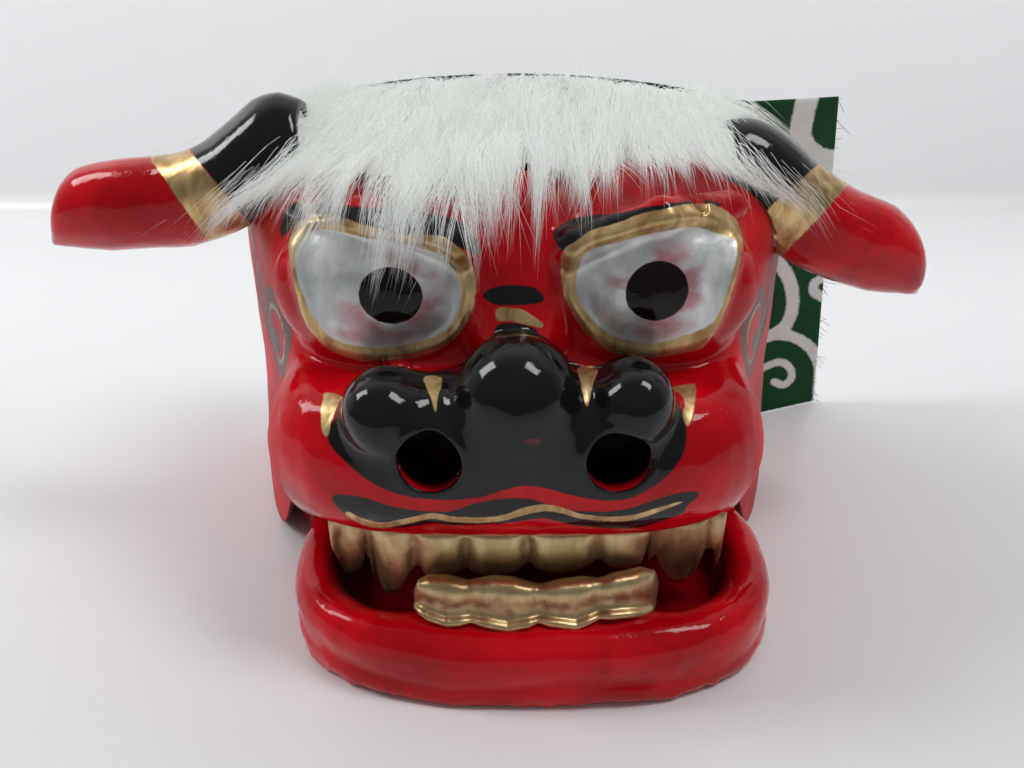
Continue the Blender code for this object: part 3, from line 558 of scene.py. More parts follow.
def give(piece, **values):
    """Stores a number at each point of a piece, for its material to read."""
    for name, numbers in values.items():
        layer = piece.data.attributes.new(name, "FLOAT", "POINT")
        layer.data.foreach_set("value", np.asarray(numbers, np.float32))


SILVER = (
    [(-59.0, 145.9), (-54.6, 146.6), (-49.6, 145.9), (-42.5, 144.1), (-35.3, 143.7), (-28.1, 141.9),
     (-22.4, 139.6), (-18.8, 135.5), (-16.8, 130.9), (-16.6, 126.2), (-18.6, 119.8), (-22.5, 115.4),
     (-29.6, 112.2), (-38.9, 110.5), (-48.1, 110.8), (-54.1, 112.2), (-58.4, 115.8), (-61.5, 122.2),
     (-63.7, 130.1), (-64.1, 136.2), (-63.1, 141.5)],
    [(19.5, 139.5), (22.6, 141.6), (29.8, 143.4), (36.9, 145.3), (44.8, 146.9), (51.2, 147.4),
     (56.1, 146.1), (62.0, 143.7), (63.5, 140.4), (63.1, 134.6), (61.5, 126.0), (59.6, 119.8),
     (55.9, 116.2), (49.3, 113.5), (42.7, 111.7), (35.9, 112.2), (29.0, 114.5), (22.8, 119.8),
     (18.8, 126.0), (17.7, 131.9)],
)
RIMS = (
    [(-65.6, 142.2), (-65.7, 137.7), (-64.8, 126.2), (-63.5, 118.2), (-59.6, 111.7), (-54.5, 107.9),
     (-47.0, 105.8), (-37.6, 106.2), (-28.2, 107.5), (-20.4, 111.7), (-14.8, 118.2), (-12.1, 124.6),
     (-11.6, 130.9), (-13.6, 137.7), (-17.9, 142.6), (-23.6, 145.2), (-33.7, 145.9), (-39.4, 147.4),
     (-46.4, 149.5), (-52.0, 150.7), (-57.8, 150.7), (-62.3, 148.8)],
    [(13.3, 139.5), (16.2, 142.5), (21.5, 146.1), (29.5, 148.7), (34.9, 151.0), (41.8, 152.6),
     (48.8, 154.1), (55.2, 154.1), (60.1, 152.1), (63.4, 148.6), (64.7, 143.7), (65.0, 138.0),
     (63.9, 131.2), (62.4, 122.5), (58.4, 111.7), (53.1, 108.8), (46.4, 107.5), (41.3, 106.8),
     (33.6, 107.5), (26.6, 110.3), (20.4, 116.2), (15.1, 124.2), (13.4, 131.2)],
)
PUPILS = ((-37.6, 126.8), (41.9, 128.2))
BLACK = (
    [(-68.3, 144.3), (-66.9, 151.0), (-62.7, 154.7), (-53.1, 154.1), (-41.8, 153.0), (-27.6, 151.8),
     (-16.8, 149.0), (-11.8, 143.7), (-11.3, 138.9), (-15.9, 141.3), (-28.0, 143.7), (-45.1, 147.2),
     (-62.4, 147.8)],
    [(10.6, 144.9), (12.5, 147.8), (16.2, 149.8), (22.2, 151.0), (30.2, 151.8), (35.2, 153.0),
     (42.3, 154.1), (52.1, 155.3), (58.5, 154.1), (52.5, 151.8), (35.5, 149.5), (24.1, 146.1),
     (18.5, 142.2), (14.5, 139.5)],
    [(-9.7, 126.7), (-7.3, 129.2), (-1.0, 130.2), (4.7, 129.5), (7.7, 127.6), (8.6, 125.1), (4.7, 124.1),
     (-1.0, 123.7), (-6.7, 124.1)],
    [(-5.9, 117.1), (-0.1, 118.0), (6.3, 115.8), (7.0, 110.8), (-0.1, 109.2), (-6.8, 110.8)],
    [(-56.1, 90.9), (-53.5, 96.6), (-48.9, 100.7), (-42.5, 103.1), (-36.3, 102.7), (-29.2, 100.0),
     (-24.5, 99.7), (-20.7, 101.4), (-16.5, 105.2), (-11.2, 110.8), (-6.0, 114.8), (0.1, 116.1),
     (6.3, 114.8), (12.5, 110.3), (16.7, 105.8), (20.8, 103.5), (26.1, 104.1), (32.2, 106.8),
     (38.4, 106.8), (44.2, 104.1), (47.1, 101.4), (49.2, 94.9), (53.5, 87.3), (55.5, 78.7), (54.1, 69.9),
     (49.1, 62.2), (42.8, 57.1), (36.2, 54.3), (27.4, 54.3), (18.3, 56.3), (9.1, 59.1), (2.4, 60.0),
     (-4.3, 58.3), (-12.1, 55.6), (-22.3, 54.3), (-33.5, 55.1), (-42.4, 57.6), (-49.8, 62.2),
     (-55.9, 68.8), (-60.8, 75.6), (-60.9, 81.1), (-57.6, 86.0)],
    [(-62.2, 55.6), (-58.3, 56.3), (-51.6, 55.1), (-41.7, 51.6), (-31.6, 49.6), (-22.4, 49.6),
     (-13.3, 53.2), (-2.0, 55.1), (5.8, 54.3), (11.6, 52.3), (18.4, 50.3), (29.7, 49.6), (38.8, 51.1),
     (47.6, 54.3), (55.3, 57.1), (60.9, 57.6), (61.5, 55.6), (58.0, 51.6), (57.0, 49.0), (51.7, 46.2),
     (43.8, 43.4), (34.8, 42.9), (23.1, 43.4), (15.2, 45.5), (9.3, 47.0), (0.3, 45.5), (-11.3, 44.5),
     (-22.6, 43.8), (-27.2, 44.5), (-34.1, 43.4), (-42.3, 42.9), (-51.2, 44.1), (-56.7, 47.0),
     (-60.9, 51.6)],
)
GOLD = (
    [(-62.0, 153.8), (-60.5, 154.4), (-53.7, 151.3), (-55.9, 149.5), (-59.2, 150.1)],
    [(-6.1, 122.2), (-3.4, 123.0), (1.9, 122.2), (5.7, 119.8), (8.0, 117.8), (7.2, 116.6), (1.9, 117.8),
     (-1.9, 118.7), (-5.7, 119.0)],
    [(-28.9, 100.0), (-23.4, 99.7), (-24.8, 93.1), (-25.8, 87.3), (-26.8, 92.0), (-28.2, 96.6)],
    [(19.3, 103.1), (25.2, 103.1), (24.2, 97.9), (22.7, 89.6), (21.2, 94.4), (20.1, 99.0)],
    [(-60.5, 94.9), (-55.3, 93.4), (-56.7, 90.9), (-59.3, 84.8), (-61.1, 78.6), (-62.9, 81.1),
     (-62.6, 87.3), (-61.5, 92.0)],
    [(49.1, 96.2), (52.6, 97.2), (56.4, 97.2), (56.9, 92.0), (56.8, 86.0), (55.6, 82.4), (53.6, 86.0),
     (53.8, 90.9), (51.9, 94.4)],
)
LIP_LINE = [(-57.3, 48.6), (-52.4, 45.5), (-45.6, 44.1), (-37.4, 45.5), (-29.3, 47.4), (-20.2, 46.2),
            (-11.2, 46.2), (-3.1, 47.5), (3.7, 50.0), (9.2, 51.1), (15.0, 50.3), (23.0, 47.5),
            (32.3, 46.6), (41.3, 47.5), (49.1, 50.3), (56.6, 53.6)]
LIP_LINE_WIDTH = [1.8, 2.3, 2.2, 2.3, 2.4, 2.2, 2.2, 2.4, 2.8, 2.8, 2.3, 2.0, 2.0, 2.1, 1.7, 0.5]
# The side scroll, in millimetres of depth and height on the head's walls
SCROLL = [(2, 150), (6, 139), (9, 127), (9, 113), (3, 98), (-8, 88), (-20, 85), (-30, 90), (-33, 100),
          (-28, 109), (-18, 112), (-10, 107), (-8, 99), (-13, 94), (-19, 96)]
SCROLL_LINE = [(6, 141), (8, 127), (7, 113), (1, 100), (-9, 91), (-20, 88), (-28, 93), (-30, 100),
               (-26, 107), (-18, 109), (-12, 105), (-11, 99), (-15, 97)]

spots = painted_place(points)
hidden = 30.0 * (1 - outer)
hidden[edge] = 0
for face in head.data.polygons:
    if face.material_index == 2:
        face.material_index = 0
rim_edge = nearest_shape(spots, RIMS)
silver_edge = nearest_shape(spots, SILVER)
pupil_edge = np.minimum(disc_distance(spots, PUPILS[0], 9.4, 0.93), disc_distance(spots, PUPILS[1], 9.2, 1.0))
black_edge = nearest_shape(spots, BLACK)
to_bore = np.min([np.hypot(points[:, 0] - x, points[:, 2] - z) for x, z in NOSTRILS], axis=0)
nostril_edge = (to_bore - NOSTRIL_RADIUS) * 1000
stands_out = (nose_distance(points) - face_distance(points)) * 700
black_edge = np.where(points[:, 2] > 0.088, np.minimum(black_edge, np.maximum(stands_out, -2.0)), black_edge)
chip_edge = disc_distance(spots, (5.3, 77.1), 2.9, 0.42)
gold_edge = np.minimum(nearest_shape(spots, GOLD), stroke_distance(spots, LIP_LINE, LIP_LINE_WIDTH))
wall = smooth_step((np.abs(points[:, 0]) - 0.070) / 0.006)
side_spots = points[:, (1, 2)] * 1000
scroll_edge = stroke_distance(side_spots, SCROLL, 8.5) + 30 * (1 - wall)
scroll_line = stroke_distance(side_spots, SCROLL_LINE, 1.7) + 30 * (1 - wall)


def hump(value, width):
    """A soft rise to 1 where value is 0."""
    return np.exp(-((value / width) ** 2))


# The gilded rims stand up as soft rolls round the eyes, and the paper is lumpy all over
normals = normals_of(head)
rim_middle = (rim_edge + silver_edge) / 2
on_face = outer * smooth_step((-0.012 - points[:, 1]) / 0.008)
relief = 1.5 * hump(rim_middle, 2.1) * (np.abs(rim_edge - silver_edge) > 0.4)
relief += 0.9 * smooth_step(-silver_edge / 14)
relief += 0.30 * hump(nostril_edge - 1.4, 1.2)
everywhere = 0.40 * lumps(points, 0.016) + 0.13 * lumps(points, 0.0055, 7.0)
points = points + normals * ((relief * on_face + everywhere * (0.35 + 0.65 * outer)) / 1000)[:, None]
points[:, 2] = np.maximum(points[:, 2], 0.0002)
move_points(head, points)
brushed = {
    "rim_edge": rim_edge, "silver_edge": silver_edge, "pupil_edge": pupil_edge, "black_edge": black_edge,
    "gold_edge": gold_edge, "chip_edge": chip_edge, "scroll_edge": scroll_edge, "scroll_line": scroll_line,
}
give(head, **{name: distance + hidden for name, distance in brushed.items()})


def red_lacquer(wire):
    """Deep translucent red, in lighter and darker clouds, with darker streaks."""
    clouds = grain(wire, 38, 4).step(0.30, 0.72)
    red = clouds.mixed((0.48, 0.0018, 0.006), (0.78, 0.004, 0.013))
    streaks = grain(wire, 130, 3, (1, 1, 0.35)).step(0.55, 0.80)
    return (streaks * 0.30).mixed(red, (0.20, 0.001, 0.003))


def given(wire, name):
    """The number that give stored under this name."""
    return wire.node("Attribute", {"attribute_name": name}, output=2)


def axis_place(wire, axis):
    """The place on the piece along one axis, in metres."""
    return wire.node("SeparateXYZ", None, {0: wire.node("TexCoord", output=3)}, axis)


def edge_mask(wire, name, soft=0.35, ragged=0.5, scale=420):
    """1 inside a painted edge and 0 outside it, with a brush's small waver."""
    edge = given(wire, name) + (grain(wire, scale, 2) - 0.5) * ragged
    return edge.step(soft, -soft)


def brushed_gold(wire, dark=(0.40, 0.23, 0.085), bright=(0.82, 0.60, 0.29)):
    patches = grain(wire, 210, 5, (1, 1, 0.4), 0.6).step(0.25, 0.75)
    return patches.mixed(dark, bright)


head_finish, wire = new_finish("painted_lacquer", Coat_Roughness=0.03, Specular_IOR_Level=0.22)
colour = red_lacquer(wire)
scroll_mask = edge_mask(wire, "scroll_edge", 0.8, 1.6, 300)
scroll_grey = grain(wire, 120, 4).mixed((0.045, 0.06, 0.065), (0.16, 0.18, 0.18))
colour = (scroll_mask * 0.80).mixed(colour, scroll_grey)
line_mask = edge_mask(wire, "scroll_line", 0.3, 0.8)
colour = line_mask.mixed(colour, (0.45, 0.36, 0.20))
black_mask = edge_mask(wire, "black_edge")
colour = black_mask.mixed(colour, grain(wire, 300, 3).mixed((0.004, 0.004, 0.005), (0.012, 0.010, 0.010)))
colour = edge_mask(wire, "chip_edge", 0.25, 2.2, 520).mixed(colour, (0.13, 0.006, 0.014))
gold_mask = edge_mask(wire, "gold_edge", 0.25, 0.6)
rim_mask = edge_mask(wire, "rim_edge", 0.3, 1.0, 260)
gilding = gold_mask.maths("MAXIMUM", gold_mask, rim_mask)
colour = gilding.mixed(colour, brushed_gold(wire))
silver_mask = edge_mask(wire, "silver_edge", 0.3, 0.7)
clouds = grain(wire, 75, 5, (1, 1, 0.7), 1.2).step(0.30, 0.70)
silver = clouds.mixed((0.62, 0.64, 0.64), (0.97, 0.98, 0.97))
near_pupil = given(wire, "pupil_edge").step(10, 1)
blush = near_pupil * grain(wire, 62, 3, (1, 1, 1.6)).step(0.40, 0.60)
silver = (blush * 0.75).mixed(silver, (0.50, 0.10, 0.13))
colour = silver_mask.mixed(colour, silver)
pupil_mask = edge_mask(wire, "pupil_edge", 0.25, 0.5)
colour = pupil_mask.mixed(colour, (0.010, 0.004, 0.004))
metal = (gilding.maths("MAXIMUM", gilding, silver_mask) * (1 - pupil_mask)).clamped()
brushing = grain(wire, 330, 4, (1, 1, 0.25))
across = axis_place(wire, 0)
side = across.maths("ABSOLUTE", across).step(0.071, 0.078)
roughness = 0.07 + metal * (0.20 + 0.14 * brushing) + side * 0.42
fine = grain(wire, 150, 3) + metal * brushing * 0.5
metallic = metal * (0.60 - 0.22 * silver_mask)
join(head_finish, Base_Color=colour, Metallic=metallic, Roughness=roughness)
coat = (0.08 + 0.24 * black_mask) * (1 - side)
join(head_finish, Coat_Weight=coat, Normal=bumped(wire, fine, 0.0007, 0.40))

paper_finish, wire = new_finish("bare_paper", 0.85)
fibres = grain(wire, 90, 5)
join(paper_finish, Base_Color=fibres.mixed((0.075, 0.020, 0.014), (0.15, 0.045, 0.032)))
join(paper_finish, Normal=bumped(wire, fibres, 0.0012))
head.data.materials.append(head_finish)
head.data.materials.append(paper_finish)
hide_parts("head_shell")
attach(head, "head")


# The hinge rod: a dark split bamboo stick through holes in the head's walls and the jaw's. It is held by
# its fit alone, and its ends show outside.

rod_finish, wire = new_finish("smoked_bamboo", 0.6)
lines = grain(wire, 900, 3, (0.04, 1, 1))
join(rod_finish, Base_Color=lines.mixed((0.018, 0.010, 0.007), (0.09, 0.05, 0.03)))
join(rod_finish, Normal=bumped(wire, lines, 0.0002))
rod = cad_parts["hinge_rod"]
rod.data.materials.clear()
rod.data.materials.append(rod_finish)


# The lower jaw: a pasted paper tray with a thick rolled lip, which swings on the rod. It is lacquered red
# like the head, with painted shade darkening the inside of the tray, and worn to the paper along its foot.

jaw = copy_of("lower_jaw", "lacquered_jaw", 3, crease=0.35)
points = points_of(jaw)
normals = normals_of(jaw)
front_share = smooth_step((-0.020 - points[:, 1]) / 0.03)
outward = np.clip(-normals[:, 1] + np.abs(normals[:, 0]), 0, 1)
groove = hump(points[:, 2] - 0.0085 - 0.0012 * np.sin(points[:, 0] * 70), 0.0028)
relief = -1.5 * groove * outward * front_share * (0.7 + 0.6 * lumps(points, 0.02, 9.0))
relief += 0.65 * lumps(points, 0.018, 3.0) + 0.22 * lumps(points, 0.006, 5.0)
low = smooth_step((0.0045 - points[:, 2]) / 0.0035) * outward
relief += (0.3 + 0.9 * lumps(points, 0.005, 11.0) + 0.4 * lumps(points, 0.0022, 6.0)) * low
points = points + normals * (relief / 1000)[:, None]
points[:, 2] = np.maximum(points[:, 2], 0.0)
move_points(jaw, points)
spots = painted_place(points)
crack_edge = stroke_distance(spots, [(-36.0, 2.2), (-35.0, -1.0), (-35.9, -4.2)], [0.2, 0.7, 0.3])
# A small dark disc of painted shade stands for a hole near the jaw's foot; the dark line is a crack.
crack_edge = np.minimum(crack_edge, disc_distance(spots, (14.6, -5.0), 1.0))
# Painted shade: the tray's inner walls and floor, which the upper head shades, are marked to be darkened.
inward = -(normals[:, 0] * points[:, 0] + normals[:, 1] * (points[:, 1] - 0.03)) / np.hypot(
    points[:, 0], points[:, 1] - 0.03)
inside = np.maximum(smooth_step((inward - 0.1) / 0.5), (normals[:, 2] > 0.7) * (points[:, 2] < 0.012))
give(jaw, crack_edge=crack_edge, inside=inside)
jaw_finish, wire = new_finish("jaw_lacquer", Coat_Roughness=0.03, Specular_IOR_Level=0.22)
worn = grain(wire, 260, 4).step(0.58, 0.72) * axis_place(wire, 2).step(0.006, 0.001)
colour = worn.mixed(red_lacquer(wire), (0.16, 0.05, 0.035))
colour = edge_mask(wire, "crack_edge", 0.3, 0.6).mixed(colour, (0.02, 0.004, 0.004))
# The inside of the tray is painted darker red as shade.
colour = (given(wire, "inside") * 0.60).mixed(colour, (0.07, 0.002, 0.003))
join(jaw_finish, Base_Color=colour, Roughness=0.08 + worn * 0.4, Coat_Weight=0.08 - worn * 0.08)
join(jaw_finish, Normal=bumped(wire, grain(wire, 150, 3), 0.0007, 0.55))
jaw.data.materials.append(jaw_finish)
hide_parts("lower_jaw")
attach(jaw, "jaw")


# The teeth: two moulded strips of pasted paper, one glued under the upper lip and one on the jaw's lip.
# They are gilded, with red-brown painted shade between the teeth, at the upper teeth's tips and in a groove
# across the lower teeth.

teeth_finish, wire = new_finish("gilded_teeth", Coat_Weight=0.20, Coat_Roughness=0.08)
# Painted shade: red-brown in patches where the teeth lie in shade, with less metal there.
shade_patches = grain(wire, 170, 4).step(0.40, 0.66)
painted_tooth_shade = (given(wire, "hollow") * (0.20 + 0.75 * shade_patches)).clamped()
olive = grain(wire, 95, 3, (1, 1, 1.3)).step(0.56, 0.74)
gold = (olive * 0.55).mixed(brushed_gold(wire, (0.52, 0.37, 0.17), (0.74, 0.56, 0.30)), (0.20, 0.15, 0.06))
colour = painted_tooth_shade.mixed(gold, (0.30, 0.085, 0.045))
brushing = grain(wire, 330, 4, (1, 1, 0.25))
join(teeth_finish, Base_Color=colour, Metallic=0.90 - painted_tooth_shade * 0.55, Roughness=0.30 + 0.16 * brushing)
join(teeth_finish, Normal=bumped(wire, grain(wire, 170, 3) + brushing * 0.5, 0.0005, 0.5))
# The biting edges in the painter's view, from the left: upper teeth, then the lower teeth's edge and foot
UPPER_EDGE = [(-64.3, 29.3), (-62.0, 26.7), (-58.6, 21.0), (-54.9, 23.2), (-51.8, 35.7), (-51.6, 29.3),
              (-50.8, 20.5), (-46.8, 12.4), (-41.9, 15.6), (-37.5, 23.2), (-34.6, 25.4), (-31.5, 22.9),
              (-27.6, 21.6), (-21.5, 22.7), (-17.6, 25.4), (-15.1, 23.6), (-11.3, 22.3), (-4.9, 21.8),
              (-0.2, 23.6), (4.3, 27.8), (7.9, 24.9), (14.3, 23.4), (22.1, 24.5), (29.0, 28.9),
              (33.3, 26.7), (39.0, 25.4), (46.0, 27.1), (48.9, 31.0), (51.0, 25.8), (54.3, 20.5),
              (58.8, 17.8), (62.7, 22.3), (66.0, 31.4), (66.8, 33.6), (69.1, 28.4), (71.7, 24.0),
              (73.6, 29.3), (74.0, 32.3), (76.2, 31.0), (78.5, 35.3)]
LOWER_EDGE = [(-36.9, 15.1), (-34.8, 21.0), (-31.1, 23.2), (-24.7, 23.4), (-17.0, 21.0), (-9.1, 22.7),
              (-0.2, 22.3), (8.0, 19.2), (15.8, 21.4), (22.9, 22.5), (29.3, 21.8), (35.2, 24.5),
              (43.9, 26.5), (49.3, 24.9), (53.3, 15.1)]
LOWER_FOOT = [(-36.5, 8.7), (-31.3, 3.6), (-25.2, 0.8), (-15.6, 1.8), (-2.8, -1.6), (8.6, 1.8),
              (22.2, -0.6), (31.6, 4.1), (46.4, 5.5), (54.5, 9.2)]
# Where one tooth meets the next, by the painter's place across
GAPS = {
    "upper_teeth": (-61.1, -52.3, -35.8, -17.5, 4.3, 28.9, 49.0, 66.9, 74.3),
    "lower_teeth": (-16.5, 8.5, 29.8),
}


def span_in_view(spots, steps):
    """The piece's lowest and highest place in the painter's view, at each spot's place across."""
    places = np.linspace(spots[:, 0].min(), spots[:, 0].max(), steps)
    near = [spots[np.abs(spots[:, 0] - place) < 0.9, 1] for place in places]
    low = np.interp(spots[:, 0], places, [found.min() for found in near])
    return low, np.interp(spots[:, 0], places, [found.max() for found in near])


def lift_in_view(points, lift):
    """Lifts points by millimetres in the painter's view."""
    points[:, 2] += lift / 1000 * (points[:, 1] - PAINTER[1]) / (PAINT_Y - PAINTER[1])


for node, body in (("upper_teeth", "head"), ("lower_teeth", "jaw")):
    teeth = copy_of(node, "gilded_" + node, 2)
    points = points_of(teeth)
    spots = painted_place(points)
    low, high = span_in_view(spots, 140)
    up = np.clip((spots[:, 1] - low) / (high - low), 0, 1)
    if node == "upper_teeth":
        new_low, new_high = np.interp(spots[:, 0], *np.array(UPPER_EDGE).T), high
    else:
        new_low = np.interp(spots[:, 0], *np.array(LOWER_FOOT).T)
        new_high = np.interp(spots[:, 0], *np.array(LOWER_EDGE).T)
    wanted = new_low + up * (new_high - new_low)
    lift_in_view(points, wanted - spots[:, 1])
    move_points(teeth, points)
    to_gap = np.min([np.abs(spots[:, 0] - gap) for gap in GAPS[node]], axis=0)
    facing = np.clip(-normals_of(teeth)[:, 1], 0, 1)
    # Where the red-brown painted shade goes: between the teeth, at the upper teeth's tips, and in the groove
    # across the lower teeth.
    if node == "upper_teeth":
        hollow = 0.60 * hump(to_gap, 2.0) + 0.75 * smooth_step((0.30 - up) / 0.26)
        relief = 0.4 - 1.3 * hump(to_gap, 2.3) * smooth_step((0.85 - up) / 0.3)
    else:
        hollow = 1.1 * hump(up - 0.36, 0.15) * (1 - 0.7 * hump(to_gap, 2.0))
        relief = 0.4 - 0.9 * hump(to_gap, 2.6) - 0.5 * hump(up - 0.34, 0.16)
        relief += 1.7 * smooth_step((0.15 - up) / 0.12)
    relief = relief * facing + 0.22 * lumps(points, 0.006, 2.0) + 0.08 * lumps(points, 0.002, 3.0)
    points = points + normals_of(teeth) * (relief / 1000)[:, None]
    move_points(teeth, points)
    give(teeth, hollow=hollow)
    teeth.data.materials.append(teeth_finish)
    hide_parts(node)
    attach(teeth, body)


# The ears: moulded paper half shells like mittens, glued to the head's sides. They are lacquered black at
# the root and red at the tip, with a gold band between.

EAR_BANDS = {
    # the band's four corners in the painter's view, from the tip's upper corner round to its lower one
    "ear_left": [(-100.5, 166.9), (-88.2, 169.0), (-76.4, 148.4), (-87.9, 143.4)],
    "ear_right": [(92.0, 158.1), (81.5, 162.6), (67.5, 147.2), (78.5, 139.8)],
}
# How far each ear's upper and lower edges are lifted, by the painter's place across, all in millimetres
EAR_LIFT = {
    "ear_left": (
        ((-129.7, -124, -115.5, -104, -92.8, -85.7, -78.6, -71.5, -64.4),
         (2.7, 2.2, 0, -2.4, -4.0, -3.8, -1.6, 1.9, 3.8)),
        ((-129.7, -118, -104, -94, -84, -76, -64), (1.2, -0.8, -1.6, -3.2, -2.4, -0.5, 0)),
    ),
    "ear_right": (
        ((64, 70, 78, 86, 96, 108, 116), (2.6, 1.6, 0.6, -0.6, -0.4, 1.0, 0.4)),
        ((64, 74, 84, 94, 104, 114), (0, 0.5, -0.8, -1.2, -1.2, 0.6)),
    ),
}
ear_finish, wire = new_finish("ear_paint", Coat_Roughness=0.03, Specular_IOR_Level=0.22)
colour = red_lacquer(wire)
black_mask = edge_mask(wire, "root_edge", 0.3, 0.8)
colour = black_mask.mixed(colour, grain(wire, 300, 3).mixed((0.004, 0.004, 0.005), (0.014, 0.012, 0.012)))
band_mask = edge_mask(wire, "band_edge", 0.3, 1.2, 260)
colour = band_mask.mixed(colour, brushed_gold(wire))
brushing = grain(wire, 330, 4, (1, 1, 0.25))
join(ear_finish, Base_Color=colour, Metallic=band_mask * 0.92)
join(ear_finish, Roughness=0.10 + band_mask * (0.16 + 0.14 * brushing))
join(ear_finish, Coat_Weight=0.08 + black_mask * 0.24, Normal=bumped(wire, grain(wire, 150, 3), 0.0007, 0.5))
for node, (tip_high, root_high, root_low, tip_low) in EAR_BANDS.items():
    ear = copy_of(node, "painted_" + node, 2)
    points = points_of(ear)
    spots = painted_place(points)

    def beyond(a, b):
        """Distance past the line from a to b, on its left side."""
        run = np.subtract(b, a) / math.dist(a, b)
        return (spots[:, 0] - a[0]) * -run[1] + (spots[:, 1] - a[1]) * run[0]

    side = -1 if node == "ear_left" else 1
    root_side = beyond(root_low, root_high) * side
    tip_side = beyond(tip_low, tip_high) * -side
    upper, lower = EAR_LIFT[node]
    low, high = span_in_view(spots, 90)
    up = np.clip((spots[:, 1] - low) / np.maximum(high - low, 0.5), 0, 1)
    lift = np.interp(spots[:, 0], *upper) * up + np.interp(spots[:, 0], *lower) * (1 - up)
    lift_in_view(points, lift)
    move_points(ear, points)
    points = points + normals_of(ear) * (0.45 * lumps(points, 0.015, 4.0) / 1000)[:, None]
    move_points(ear, points)
    give(ear, root_edge=-root_side, band_edge=np.maximum(root_side, tip_side))
    ear.data.materials.append(ear_finish)
    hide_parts(node)
    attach(ear, "head")


# The fur: a strip of white long pile fur glued across the crown and combed forward over the brow. The pile
# hangs in locks, and strays over the roots of the ears.

FUR_SPAN = 0.065
FUR_AXIS = np.array((0.0, 0.030, 0.105))
FUR_BACK, FUR_FRONT = math.radians(-26), math.radians(100)
skin_tree = BVHTree.FromObject(head, bpy.context.evaluated_depsgraph_get())


def fur_ray(across, turn):
    """The start, on the fur's axis, and the direction of the ray through a place on the fur."""
    along = np.clip((turn - FUR_BACK) / math.radians(90), 0, 1.1)
    fan = across * np.abs(across) * (0.05 + 0.12 * along)
    start = np.stack([FUR_SPAN * across, 0 * across + FUR_AXIS[1], 0 * across + FUR_AXIS[2]], -1)
    return start, np.stack([fan, -np.sin(turn), np.cos(turn)], -1)


ACROSS, TURNS = np.linspace(-1.5, 1.5, 61), np.linspace(math.radians(-40), FUR_FRONT, 71)
skin_reach = np.zeros((len(ACROSS), len(TURNS)))
for i, across in enumerate(ACROSS):
    for j, turn in enumerate(TURNS):
        start, direction = fur_ray(np.array(across), np.array(turn))
        outside = Vector(start + direction * 0.16)
        hit = skin_tree.ray_cast(outside, -Vector(direction))[0]
        skin_reach[i, j] = (hit - Vector(start)).length / np.linalg.norm(direction) if hit else 0.0
for _ in range(6):
    blurred = np.pad(skin_reach, 1, mode="edge")
    beside = np.max([blurred[:-2, 1:-1], blurred[2:, 1:-1], blurred[1:-1, :-2], blurred[1:-1, 2:]], axis=0)
    skin_reach = np.maximum(skin_reach, beside * 0.97)


def fur_place(across, turn, height):
    """The point at a height over the skin."""
    i = np.clip((across - ACROSS[0]) / (ACROSS[1] - ACROSS[0]), 0, len(ACROSS) - 1.001)
    j = np.clip((turn - TURNS[0]) / (TURNS[1] - TURNS[0]), 0, len(TURNS) - 1.001)
    a, b = i.astype(int), j.astype(int)
    u, v = i - a, j - b
    reach = (skin_reach[a, b] * (1 - u) + skin_reach[a + 1, b] * u) * (1 - v)
    reach = reach + (skin_reach[a, b + 1] * (1 - u) + skin_reach[a + 1, b + 1] * u) * v
    start, direction = fur_ray(across, turn)
    return start + direction * (reach + height)[..., None]


def tube_mesh(name, paths, radii):
    """Thin three-sided tapered hairs as one mesh. paths holds each hair's points, radii all but its tip's."""
    count, steps = paths.shape[:2]
    along = np.gradient(paths, axis=1)
    along /= np.maximum(np.linalg.norm(along, axis=2), 1e-9)[..., None]
    side = np.cross(along, np.array((0.31, 0.55, 0.77)))
    side /= np.maximum(np.linalg.norm(side, axis=2), 1e-9)[..., None]
    other = np.cross(along, side)
    rings = []
    for k in range(3):
        turn = 2 * math.pi * k / 3
        offset = math.cos(turn) * side + math.sin(turn) * other
        rings.append(paths[:, :-1] + offset[:, :-1] * radii[..., None])
    rings = np.stack(rings, 2).reshape(count, -1, 3)
    vertices = np.concatenate([rings, paths[:, -1:]], 1)
    per_hair = vertices.shape[1]
    faces = [(0, 2, 1)]
    for s in range(steps - 2):
        for k in range(3):
            a, b = 3 * s + k, 3 * s + (k + 1) % 3
            faces += [(a, b, b + 3), (a, b + 3, a + 3)]
    last = 3 * (steps - 2)
    faces += [(last + k, last + (k + 1) % 3, per_hair - 1) for k in range(3)]
    faces = np.array(faces)[None] + per_hair * np.arange(count)[:, None, None]
    mesh = bpy.data.meshes.new(name)
    mesh.vertices.add(count * per_hair)
    mesh.vertices.foreach_set("co", vertices.astype(np.float32).ravel())
    flat = faces.reshape(-1)
    mesh.loops.add(len(flat))
    mesh.loops.foreach_set("vertex_index", flat.astype(np.int32))
    mesh.polygons.add(len(flat) // 3)
    mesh.polygons.foreach_set("loop_start", np.arange(0, len(flat), 3, dtype=np.int32))
    mesh.update(calc_edges=True)
    mesh.shade_smooth()
    return put_in(name, mesh)


def fringe_turn(across):
    """Where the fringe ends in the brow, longest over the left eye's inner half."""
    ends = np.interp(across, (-1.1, -1.0, -0.75, -0.5, -0.25, 0, 0.25, 0.5, 0.75, 1.0, 1.2),
                     (47, 52, 61, 66, 69, 65, 59, 54, 51, 47, 41))
    return np.radians(ends)


def pile_height(across, turn):
    """Depth of the fur's pile at its roots."""
    along = np.clip((turn - FUR_BACK) / math.radians(72), 0, 1)
    return 0.0115 * np.sin(math.pi * (0.08 + 0.83 * along)) ** 0.5 * (1 - 0.5 * np.abs(across) ** 5)


